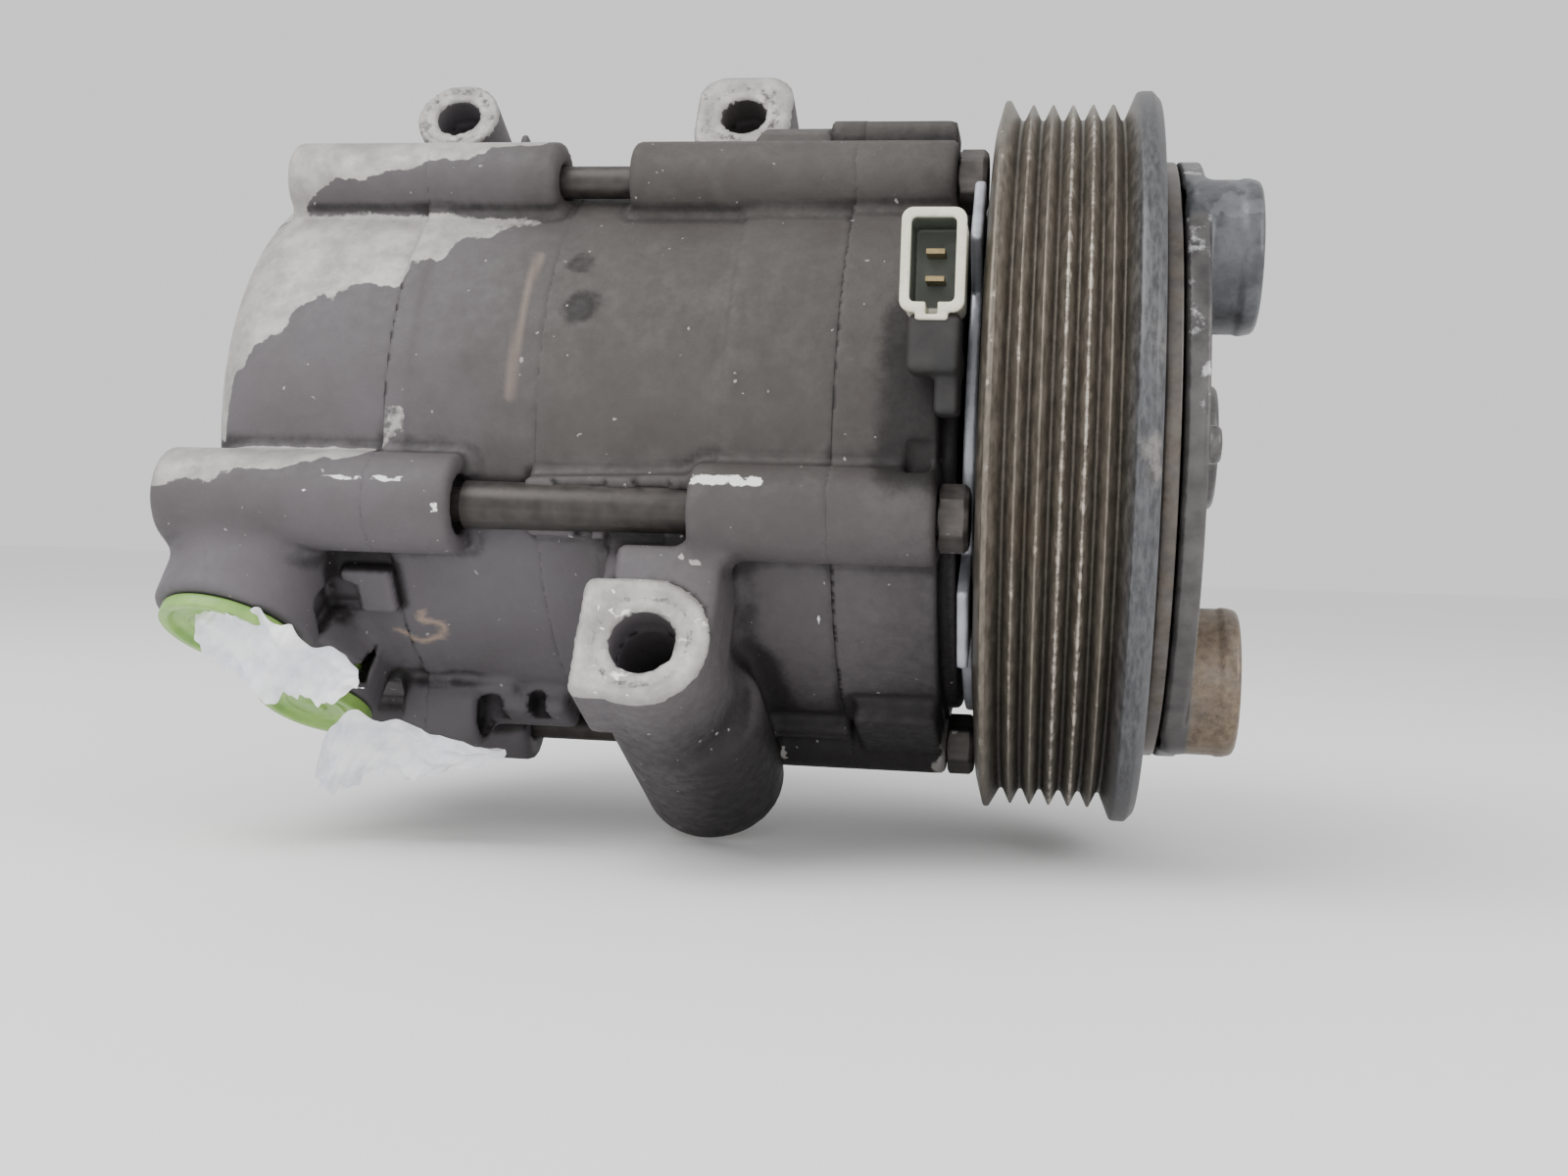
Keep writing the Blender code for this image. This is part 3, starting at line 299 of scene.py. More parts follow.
# which way a field rises, as unit vectors
def slope(field, p, reach=0.15):
    rows = [field(p + reach * e) - field(p - reach * e) for e in np.eye(3)]
    g = np.stack(rows, -1)
    return g / np.maximum(np.linalg.norm(g, axis=1), 1e-9)[:, None]


# each vertex slides along the slope onto the skin, by at most a third of a cell
def settle(field, verts, step):
    for _ in range(2):
        away = np.clip(field(verts), -step / 3, step / 3)
        verts = verts - slope(field, verts) * away[:, None]
    return verts


print("helpers ready")


class Nodes:
    def __init__(self, name):
        self.material = bpy.data.materials.new(name)
        self.material.use_nodes = True
        self.tree = self.material.node_tree
        self.shader = self.tree.nodes["Principled BSDF"]
        self.place = self.tree.nodes.new("ShaderNodeTexCoord").outputs["Object"]

    def link(self, source, target):
        self.tree.links.new(source, target)

    def noise(self, size, detail=4.0, rough=0.6, stretch=None):
        node = self.tree.nodes.new("ShaderNodeTexNoise")
        node.inputs["Scale"].default_value = 1 / (size * mm)
        node.inputs["Detail"].default_value = detail
        node.inputs["Roughness"].default_value = rough
        place = self.place
        if stretch:
            mapping = self.tree.nodes.new("ShaderNodeMapping")
            mapping.inputs["Scale"].default_value = stretch
            self.link(self.place, mapping.inputs["Vector"])
            place = mapping.outputs["Vector"]
        self.link(place, node.inputs["Vector"])
        return node.outputs["Fac"]

    def cells(self, size):
        node = self.tree.nodes.new("ShaderNodeTexVoronoi")
        node.inputs["Scale"].default_value = 1 / (size * mm)
        self.link(self.place, node.inputs["Vector"])
        return node.outputs["Distance"]

    def attribute(self, name):
        node = self.tree.nodes.new("ShaderNodeAttribute")
        node.attribute_name = name
        return node.outputs["Fac"]

    def span(self, value, low, high, outLow=0.0, outHigh=1.0):
        node = self.tree.nodes.new("ShaderNodeMapRange")
        node.interpolation_type = "SMOOTHSTEP"
        self.link(value, node.inputs["Value"])
        node.inputs["From Min"].default_value = low
        node.inputs["From Max"].default_value = high
        node.inputs["To Min"].default_value = outLow
        node.inputs["To Max"].default_value = outHigh
        return node.outputs["Result"]

    def math(self, kind, a, b):
        node = self.tree.nodes.new("ShaderNodeMath")
        node.operation = kind
        for value, socket in ((a, node.inputs[0]), (b, node.inputs[1])):
            if isinstance(value, (int, float)):
                socket.default_value = value
            else:
                self.link(value, socket)
        return node.outputs["Value"]

    def blend(self, factor, a, b):
        node = self.tree.nodes.new("ShaderNodeMix")
        node.data_type = "RGBA"
        if isinstance(factor, (int, float)):
            node.inputs["Factor"].default_value = factor
        else:
            self.link(factor, node.inputs["Factor"])
        for value, socket in ((a, node.inputs[6]), (b, node.inputs[7])):
            if isinstance(value, tuple):
                socket.default_value = (*value, 1.0)
            else:
                self.link(value, socket)
        return node.outputs[2]

    def bump(self, height, strength, distance):
        node = self.tree.nodes.new("ShaderNodeBump")
        node.inputs["Strength"].default_value = strength
        node.inputs["Distance"].default_value = distance * mm
        self.link(height, node.inputs["Height"])
        if self.shader.inputs["Normal"].is_linked:
            self.link(self.shader.inputs["Normal"].links[0].from_socket, node.inputs["Normal"])
        self.link(node.outputs["Normal"], self.shader.inputs["Normal"])

    def colour(self, source):
        self.link(source, self.shader.inputs["Base Color"])

    def rough(self, source):
        if isinstance(source, float):
            self.shader.inputs["Roughness"].default_value = source
        else:
            self.link(source, self.shader.inputs["Roughness"])

    def metal(self, source):
        if isinstance(source, float):
            self.shader.inputs["Metallic"].default_value = source
        else:
            self.link(source, self.shader.inputs["Metallic"])


# the near-black colour is for dirt and painted shade, and the bare colour for bare metal and painted
# highlights
castLook = {
    "plain": (0.066, 0.059, 0.055), "light": (0.086, 0.078, 0.073), "dark": (0.054, 0.047, 0.044),
    "violet": (0.120, 0.110, 0.122), "dirtAndShade": (0.013, 0.011, 0.011), "bareAndHighlight": (0.45, 0.435, 0.42),
    "chip": (0.80, 0.80, 0.78), "tan": (0.36, 0.27, 0.21),
}


# Cast aluminium: two greys mixed by broad noise, then violet, dirt and painted shade, bare metal and painted
# highlights and chips by the painted values, each with its edge broken up by finer noise. Fine noise makes
# the sand-cast grain.
def castMetal():
    n = Nodes("castAluminium")
    broad = n.noise(26, 5.0, 0.62)
    fine = n.noise(2.2, 5.0, 0.7)
    c = n.blend(n.span(broad, 0.32, 0.68), castLook["dark"], castLook["plain"])
    c = n.blend(n.math("MULTIPLY", n.span(n.noise(9, 6.0, 0.7), 0.45, 0.75), 0.65), c, castLook["light"])
    tint = n.math("MULTIPLY", n.attribute("violet"), n.span(broad, 0.2, 0.75, 0.55, 1.0))
    c = n.blend(tint, c, castLook["violet"])
    # darker by the painted value for dirt and painted shade
    smear = n.math("ADD", n.attribute("dirtAndShade"), n.math("MULTIPLY", n.math("SUBTRACT", fine, 0.5), 0.5))
    c = n.blend(n.span(smear, 0.12, 1.0, 0.0, 0.93), c, castLook["dirtAndShade"])
    # brighter by the painted value for bare metal and painted highlights
    ragged = n.math("MULTIPLY", n.math("SUBTRACT", n.noise(3.5, 6.0, 0.75), 0.5), 0.9)
    bareAndHighlight = n.span(n.math("ADD", n.attribute("bareAndHighlight"), ragged), 0.42, 0.58)
    c = n.blend(bareAndHighlight, c, n.blend(n.span(n.noise(6, 4.0), 0.3, 0.7), (0.30, 0.285, 0.27), castLook["bareAndHighlight"]))
    chip = n.span(n.math("ADD", n.attribute("chip"), n.math("MULTIPLY", ragged, 0.8)), 0.48, 0.56)
    c = n.blend(chip, c, castLook["chip"])
    c = n.blend(n.attribute("tan"), c, castLook["tan"])
    speck = n.span(n.noise(1.7, 2.0, 0.5), 0.735, 0.76)
    c = n.blend(n.math("MULTIPLY", speck, 0.55), c, castLook["bareAndHighlight"])
    n.colour(c)
    n.metal(n.math("MULTIPLY", bareAndHighlight, 0.45))
    n.rough(n.span(fine, 0.25, 0.75, 0.5, 0.72))
    n.shader.inputs["Specular IOR Level"].default_value = 0.32
    n.bump(fine, 0.35, 0.35)
    n.bump(n.noise(7, 3.0), 0.25, 0.6)
    return n.material


# A worn metal: two tones by noise in stretched streaks, darker by its painted dirt and painted shade,
# brighter by its painted bare metal and painted highlights, bluer by "cool" and brown by "rust".
def wornMetal(name, dark, light, metallic, rough, grain=3.0, stretch=None, bareAndHighlight=(0.6, 0.58, 0.56)):
    n = Nodes(name)
    streak = n.noise(grain, 6.0, 0.65, stretch)
    c = n.blend(n.span(streak, 0.3, 0.7), dark, light)
    fine = n.noise(grain / 4, 4.0, 0.7)
    # darker by the painted value for dirt and painted shade
    smear = n.math("ADD", n.attribute("dirtAndShade"), n.math("MULTIPLY", n.math("SUBTRACT", fine, 0.5), 0.4))
    c = n.blend(n.span(smear, 0.15, 1.0, 0.0, 0.9), c, (0.016, 0.014, 0.012))
    # brighter by the painted value for bare metal and painted highlights
    ragged = n.math("SUBTRACT", n.noise(2.4, 5.0, 0.7), 0.5)
    shown = n.span(n.math("ADD", n.attribute("bareAndHighlight"), ragged), 0.42, 0.62)
    c = n.blend(shown, c, bareAndHighlight)
    blued = n.blend(n.span(streak, 0.3, 0.7), (0.048, 0.050, 0.056), (0.115, 0.119, 0.130))
    rusted = n.blend(n.span(fine, 0.3, 0.7), (0.130, 0.092, 0.060), (0.245, 0.185, 0.125))
    c = n.blend(n.attribute("rust"), n.blend(n.attribute("cool"), c, blued), rusted)
    n.colour(c)
    n.metal(metallic)
    n.rough(n.span(streak, 0.25, 0.75, rough - 0.1, rough + 0.12))
    n.bump(fine, 0.2, 0.12)
    return n.material


# Moulded plastic: a colour with slight cloudy patches and a fine bump; a painted value darkens it: soil, and
# painted shade deep in the connector's mouth.
def mouldedPlastic(name, colour, shade, rough, soilAndShade=(0.11, 0.125, 0.10)):
    n = Nodes(name)
    c = n.blend(n.span(n.noise(7, 4.0), 0.3, 0.7), shade, colour)
    c = n.blend(n.attribute("soilAndShade"), c, soilAndShade)
    n.colour(c)
    n.rough(n.span(n.noise(3, 3.0), 0.3, 0.7, rough - 0.06, rough + 0.08))
    n.bump(n.noise(0.8, 3.0), 0.15, 0.1)
    return n.material


# Torn film: milky white with thin and thick places, glossy, a little see-through.
def tornFilm():
    n = Nodes("milkyFilm")
    cloud = n.noise(5, 5.0, 0.65)
    n.colour(n.blend(n.span(cloud, 0.35, 0.65), (0.78, 0.79, 0.87), (0.97, 0.97, 0.99)))
    n.rough(n.span(cloud, 0.3, 0.7, 0.22, 0.45))
    n.shader.inputs["Alpha"].default_value = 0.94
    n.bump(n.noise(2.5, 4.0), 0.4, 0.4)
    return n.material


# Rubber: near black, matt, with a dusty bloom.
def dullRubber():
    n = Nodes("dullRubber")
    dust = n.noise(4, 5.0, 0.7)
    n.colour(n.blend(n.span(dust, 0.35, 0.75), (0.012, 0.012, 0.012), (0.035, 0.034, 0.032)))
    n.rough(n.span(dust, 0.3, 0.7, 0.6, 0.8))
    n.bump(n.noise(0.6, 3.0), 0.2, 0.1)
    return n.material


castAluminium = castMetal()
boltSteel = wornMetal("oiledBoltSteel", (0.055, 0.049, 0.046), (0.125, 0.110, 0.102), 0.55, 0.48, 3.0)
groundSteel = wornMetal("groundSteel", (0.42, 0.42, 0.43), (0.60, 0.60, 0.61), 0.95, 0.28, 2.0, (6, 1, 1))
pulleySteel = wornMetal("grooveSteel", (0.105, 0.092, 0.074), (0.205, 0.180, 0.148), 0.6, 0.42, 3.0,
                        (4, 1, 1), bareAndHighlight=(0.50, 0.45, 0.39))
clutchSteel = wornMetal("clutchSteel", (0.068, 0.064, 0.064), (0.145, 0.138, 0.136), 0.55, 0.36, 6.0,
                        bareAndHighlight=(0.46, 0.46, 0.47))
zincPlate = wornMetal("zincPlate", (0.34, 0.35, 0.38), (0.50, 0.51, 0.55), 0.5, 0.42, 5.0)
coilPaint = wornMetal("coilPaint", (0.016, 0.015, 0.016), (0.035, 0.033, 0.034), 0.2, 0.55, 4.0)
copperWire = wornMetal("copperWire", (0.42, 0.17, 0.08), (0.62, 0.28, 0.14), 0.9, 0.35, 1.0, (12, 1, 1))
brassMetal = wornMetal("brassMetal", (0.24, 0.18, 0.085), (0.42, 0.33, 0.17), 0.8, 0.38, 2.0)
creamPlastic = mouldedPlastic("creamPlastic", (0.78, 0.77, 0.62), (0.66, 0.64, 0.50), 0.38)
darkPlastic = mouldedPlastic("darkPlastic", (0.026, 0.023, 0.022), (0.014, 0.013, 0.013), 0.6)
greenPlastic = mouldedPlastic("greenPlastic", (0.30, 0.50, 0.115), (0.20, 0.38, 0.085), 0.36)
milkyFilm = tornFilm()
blackRubber = dullRubber()
print("materials ready")


gap = -0.55  # neighbouring castings run into each other a little, so that a joint shows as a shallow line
case = {
    "rearJoint": 35.0, "midJoint": 61.5, "frontJoint": 113.0, "face": 133.0,  # stations along the shaft
    "barrel": 51.5, "headBarrel": 53.0, "dome": 12.0, "nose": 19.9, "noseFront": 160.6,
    "boltCircle": 55.0, "firstBolt": 32.0, "boltHole": 3.2,  # firstBolt is in degrees
    "boreCircle": 32.5, "bore": 15.3, "shaftBore": 12.0, "room": (57.5, 90.5, 42.0),
}
# each bolt's bosses: start, end, radius
bossSpans = (
    ((8.0, 59.0, 7.2), (72.4, 130.5, 7.2)),
    ((-3.0, 49.8, 8.6), (90.0, 130.5, 8.0)),
    ((15.0, 26.0, 7.3), (31.0, 49.0, 7.3), (90.0, 130.5, 5.8)),
    ((6.0, 56.0, 7.3), (88.0, 130.5, 7.3)),
    ((8.0, 56.0, 7.3), (76.0, 130.5, 7.3)),
)
lugTilt = math.radians(28)
lugAxis = np.array((0.0, -math.cos(lugTilt), math.sin(lugTilt)))
lugUp = np.array((0.0, math.sin(lugTilt), math.cos(lugTilt)))
lugRows = np.array((lugAxis, (1.0, 0.0, 0.0), lugUp))
rearLug = {"x": 24.6, "height": 64.0, "near": 26.0, "far": -35.0, "radius": 8.5, "hole": 4.5, "web": 13.0}
frontLug = {"x": 84.6, "height": 64.0, "near": 26.0, "far": -35.0, "hole": 4.5, "web": 17.0}
lowerLug = {"x": 84.8, "height": -61.5, "near": 42.5, "far": -19.0, "hole": 5.5, "web": 20.0}
portAxis = unit((-0.1, -0.48, -0.87))
suctionPort = np.array((8.8, -53.0, -35.5))
dischargePort = np.array((16.6, -35.0, -49.0))


def boltAngle(index):
    return case["firstBolt"] + 72.0 * index


def lugPoint(lug, depth, height=None, shift=0.0):
    height = lug["height"] if height is None else height
    return np.array((lug["x"] + shift, 0, 0)) + lugUp * height + lugAxis * depth


# all the bosses, as bars that stand on the bolt circle
def bossField(p, low, high):
    found = np.full(len(p), 99.0)
    for index, spans in enumerate(bossSpans):
        angle = boltAngle(index)
        for start, end, radius in spans:
            if end > low and start < high:
                a, b = (around(angle, case["boltCircle"], x) for x in (start, end))
                found = np.minimum(found, bar(p, a, b, radius, 1.3))
    return found


def boltHoleField(p, low, high):
    reach, hole = case["boltCircle"], case["boltHole"]
    lines = [(around(boltAngle(i), reach, low), around(boltAngle(i), reach, high)) for i in range(5)]
    return np.minimum.reduce([bar(p, start, end, hole) for start, end in lines])


# a lug's web, which ties its tube to the barrel
def webField(p, lug, side=1.0):
    inner = side * 39.5
    middle = (lug["near"] + lug["far"]) / 2
    depth = lug["near"] - lug["far"] - 12
    centre = lugPoint(lug, middle, (inner + lug["height"]) / 2)
    return block(p, centre, (depth, lug["web"], abs(lug["height"] - inner)), lugRows, 1.5)


# a lug's hole, with a shallow spot face at the near mouth and a slightly narrower middle
def lugHoleField(p, lug, spot):
    hole = bar(p, lugPoint(lug, lug["far"] - 5), lugPoint(lug, lug["near"] + 5), lug["hole"] - 0.35)
    mouth = bar(p, lugPoint(lug, lug["near"] - 7), lugPoint(lug, lug["near"] + 5), lug["hole"])
    face = bar(p, lugPoint(lug, lug["near"] - 0.5), lugPoint(lug, lug["near"] + 5), spot)
    back = bar(p, lugPoint(lug, lug["far"] - 5), lugPoint(lug, lug["far"] + 7), lug["hole"])
    return np.minimum.reduce((hole, mouth, face, back))


def cylinderCuts(p, low, high):
    start, end, radius = case["room"]
    room, bore = hoop(p, start, end, -radius, radius), case["shaftBore"]
    cuts = [room, hoop(p, low - 9, high + 9, -bore, bore), boltHoleField(p, low - 9, high + 9)]
    for i in range(5):
        a, b = (around(boltAngle(i) + 36, case["boreCircle"], x) for x in (low - 9, high + 9))
        cuts.append(bar(p, a, b, case["bore"]))
    return np.minimum.reduce(cuts)


def betweenJoints(p, f, low=None, high=None):
    if low is not None:
        f = np.maximum(f, low + gap - p[:, 0])
    if high is not None:
        f = np.maximum(f, p[:, 0] - high + gap)
    return f


# the stub below the rear joint, with a hollow front end
def stubField(p):
    return melt(bar(p, around(157, 55.5, 30.0), around(157, 55.5, 44.5), 7.0, 1.6),
                block(p, around(157, 50.0, 40.0), (22, 8, 12), sideRows(157), 1.5), 2.0)


# Rear head: a domed barrel, two top and side bosses, one lug, a port pad with two mouths and the valve's boss
def rearHeadField(p):
    f = hoop(p, 0.0, 50.0, -case["barrel"], case["barrel"], case["dome"])
    f = melt(f, bossField(p, -9, case["rearJoint"]), 2.6)
    far, near = lugPoint(rearLug, rearLug["far"]), lugPoint(rearLug, rearLug["near"])
    tube = bar(p, far, near, rearLug["radius"], 0.6)
    f = melt(f, np.minimum(tube, webField(p, rearLug)), 2.5)
    flap = block(p, lugPoint(rearLug, -12, 65.0, 8.6), (44.0, 1.6, 17.0), lugRows, 0.6)
    f = melt(f, flap, 1.0)
    into = portAxis * 22.0
    pads = melt(bar(p, suctionPort, suctionPort - into, 14.0, 1.0),
                bar(p, dischargePort, dischargePort - into, 11.0, 1.0), 2.0)
    across = dischargePort - suctionPort
    across = across - portAxis * (across @ portAxis)
    rows = np.array((unit(across), portAxis, np.cross(unit(across), portAxis)))
    size = (np.linalg.norm(across), 20.0, 22.0)
    bridge = block(p, suctionPort + across / 2 - portAxis * 12, size, rows, 1.0)
    f = melt(f, melt(pads, bridge, 2.0), 3.0)
    f = melt(f, bar(p, around(283, 44, 22), around(283, 56, 22), 9.0, 0.8), 3.0)
    f = melt(f, stubField(p), 2.0)
    rib = block(p, around(122, 53.5, 30.5), (9.5, 3.0, 9.0), sideRows(122), 1.0)
    f = melt(f, rib, 1.5)
    pocket = block(p, around(124, 55.5, 24.5), (8.0, 10.0, 7.5), sideRows(124), 1.2)
    notch = block(p, around(139, 55.0, 23.5), (7.0, 9.0, 5.0), sideRows(139, 28), 1.0)
    f = carve(f, np.minimum(pocket, notch), 0.8)
    core = hoop(p, 12.0, 31.7, -21.0, 21.0)
    chamber = hoop(p, 13.0, 31.7, 25.0, 46.0)
    seat = hoop(p, 31.65, 50.0, -49.7, 49.7)
    mouths = np.minimum(bar(p, suctionPort + portAxis * 5, suctionPort - portAxis * 24, 8.0),
                        bar(p, dischargePort + portAxis * 5, dischargePort - portAxis * 22, 6.8))
    holes = np.minimum(boltHoleField(p, 16, 47), bar(p, around(283, 40, 22), around(283, 60, 22), 5.0))
    cuts = np.minimum.reduce((core, chamber, seat, mouths, holes, lugHoleField(p, rearLug, 7.4)))
    return betweenJoints(p, carve(f, cuts), high=case["rearJoint"])


# rows for a block that lies on the barrel at an angle: along the shaft, outwards, and round, then turned
def sideRows(angle, turn=0.0):
    out = around(angle, 1.0)
    along = np.array((1.0, 0, 0))
    roundWay = np.cross(along, out)
    c, s = math.cos(math.radians(turn)), math.sin(math.radians(turn))
    return np.array((along * c + roundWay * s, out, roundWay * c - along * s))


# Rear cylinder block: a straight barrel that steps down before its front joint
def rearCylinderField(p):
    low, high, wall = case["rearJoint"], case["midJoint"], case["barrel"]
    f = hoop(p, low - 15, high + 15, -wall, wall)
    f = melt(f, hoop(p, low - 15, 38.5, -wall - 0.5, wall + 0.5, 0.6), 1.2)
    f = melt(f, bossField(p, low, high), 2.6)
    counterbore = bar(p, around(104, 55, 47.5), around(104, 55, 60), 5.2)
    f = melt(f, stubField(p), 2.0)
    f = melt(f, block(p, around(160, 53, 51), (19, 6, 12), sideRows(160), 1.5), 2.5)
    slot = np.minimum(bar(p, around(157, 55.5, 41.5), around(157, 55.5, 48), 4.6),
                      block(p, around(157, 55, 55), (3.2, 6, 6), sideRows(157), 0.6))
    f = carve(f, np.minimum(counterbore, slot), 0.6)
    return betweenJoints(p, carve(f, cylinderCuts(p, low, high)), low, high)


# Front cylinder block: two lugs, the leg below and the ribs that flank the open bolt
def frontCylinderField(p):
    low, high, wall = case["midJoint"], case["frontJoint"], case["barrel"]
    f = hoop(p, low - 15, high + 15, -wall, wall)
    f = melt(f, hoop(p, 94.0, high + 15, -wall - 0.7, wall + 0.7, 0.6), 1.6)
    f = melt(f, bossField(p, low, high), 2.6)
    upper = plaque(p, lugPoint(frontLug, -4.5), (61.0, 19.4, 19.6), lugRows, 5.5, 0.6)
    f = melt(f, np.minimum(upper, webField(p, frontLug)), 2.6)
    lower = bar(p, lugPoint(lowerLug, -19), lugPoint(lowerLug, 42.5), 11.0, 0.5)
    cornerBlock = plaque(p, lugPoint(lowerLug, 34.5, -61.0, -5.0), (16.0, 11.6, 20.8), lugRows, 1.6, 0.5)
    brace = block(p, lugPoint(lowerLug, 33.5, -51.0, 2.0), (15.0, 18.0, 16.0), lugRows, 1.5)
    lower = np.minimum(lower, melt(cornerBlock, brace, 1.0))
    leg = bar(p, lugPoint(lowerLug, -18.5, shift=4.2), lugPoint(lowerLug, 16, shift=4.2), 11.6, 2.0)
    lower = melt(melt(lower, leg, 4.0), webField(p, lowerLug, -1.0), 3.0)
    f = melt(f, lower, 3.5)
    step = block(p, around(23, 57.4, 100.5), (14.0, 9.0, 9.0), sideRows(23), 1.5)
    pad = block(p, around(20, 56.2, 115.0), (16.0, 12.0, 12.0), sideRows(0), 1.0)
    f = melt(f, np.minimum(step, pad), 1.5)
    ribs = np.minimum(block(p, around(99.5, 53.5, 80), (38, 5.0, 2.6), sideRows(99.5, -2), 0.9),
                      block(p, around(108.5, 53.5, 80), (38, 5.0, 2.6), sideRows(108.5, 2), 0.9))
    f = melt(f, ribs, 2.0)
    slots = np.minimum.reduce([
        block(p, around(99.2, 56.2, 70.5), (9.0, 2.4, 1.7), sideRows(99.2), 0.5),
        block(p, around(99.4, 56.2, 83.0), (6.0, 2.4, 1.5), sideRows(99.4), 0.5),
        block(p, around(108.9, 56.2, 80.0), (10.0, 2.4, 1.7), sideRows(108.9), 0.5),
        block(p, around(108.6, 56.2, 71.0), (2.6, 2.4, 1.6), sideRows(108.6), 0.5)])
    recess = block(p, around(140, 53.4, 108), (26, 1.6, 30), sideRows(140), 0.8)
    ledge = block(p, around(163, 54.0, 104), (19, 4.0, 5.0), sideRows(163), 0.8)
    f = melt(f, ledge, 1.2)
    f = carve(f, np.minimum(slots, recess + 0.9), 0.5)
    holes = np.minimum(lugHoleField(p, frontLug, 7.6), lugHoleField(p, lowerLug, 8.3))
    return betweenJoints(p, carve(f, np.minimum(cylinderCuts(p, low, high), holes)), low, high)


# Front head: a wider barrel, its bosses and pad, the flat front face and the nose that carries the bearing
def frontHeadField(p):
    low, wall = case["frontJoint"], case["headBarrel"]
    f = hoop(p, low - 13, 130.2, -wall, wall, 0.8)
    f = np.minimum(f, hoop(p, 125.0, case["face"], -48.2, 48.2, 1.0))
    f = melt(f, bossField(p, low, case["face"]), 2.2)
    f = np.minimum(f, block(p, around(20, 56.2, 120.4), (18.8, 12.0, 12.0), None, 1.0))
    step = block(p, around(160, 54.0, 122.5), (15, 5.0, 22.0), sideRows(160), 1.0)
    f = melt(f, step, 1.2)
    notch = np.minimum(block(p, around(133, 55.5, 121.5), (5.0, 4.5, 9.0), sideRows(133, 8), 0.7),
                       block(p, around(95, 54.2, 127), (4.0, 4.0, 8.0), sideRows(95), 0.7))
    f = carve(f, notch, 0.6)
    f = np.minimum(f, hoop(p, 120.0, case["noseFront"], -case["nose"], case["nose"], 0.5))
    groove = hoop(p, 158.2, 159.8, 18.8, 25.0)
    core = hoop(p, 100.0, 122.0, -21.0, 21.0)
    chamber = hoop(p, 100.0, 127.0, 25.0, 46.0)
    seat = hoop(p, 100.0, 116.35, -49.7, 49.7)
    shaft = np.minimum(hoop(p, 100, 180, -9.2, 9.2), hoop(p, 146, 180, -14.0, 14.0))
    cuts = np.minimum.reduce((groove, core, chamber, seat, shaft, boltHoleField(p, 100, 145)))
    return betweenJoints(p, carve(f, cuts), low=low)


castings = {
    "rear_head": (rearHeadField, 0.9), "rear_cylinder": (rearCylinderField, 1.0),
    "front_cylinder": (frontCylinderField, 1.0), "front_head": (frontHeadField, 0.95),
}


def wholeCase(p):
    return np.minimum.reduce([field(p) for field, _ in castings.values()])
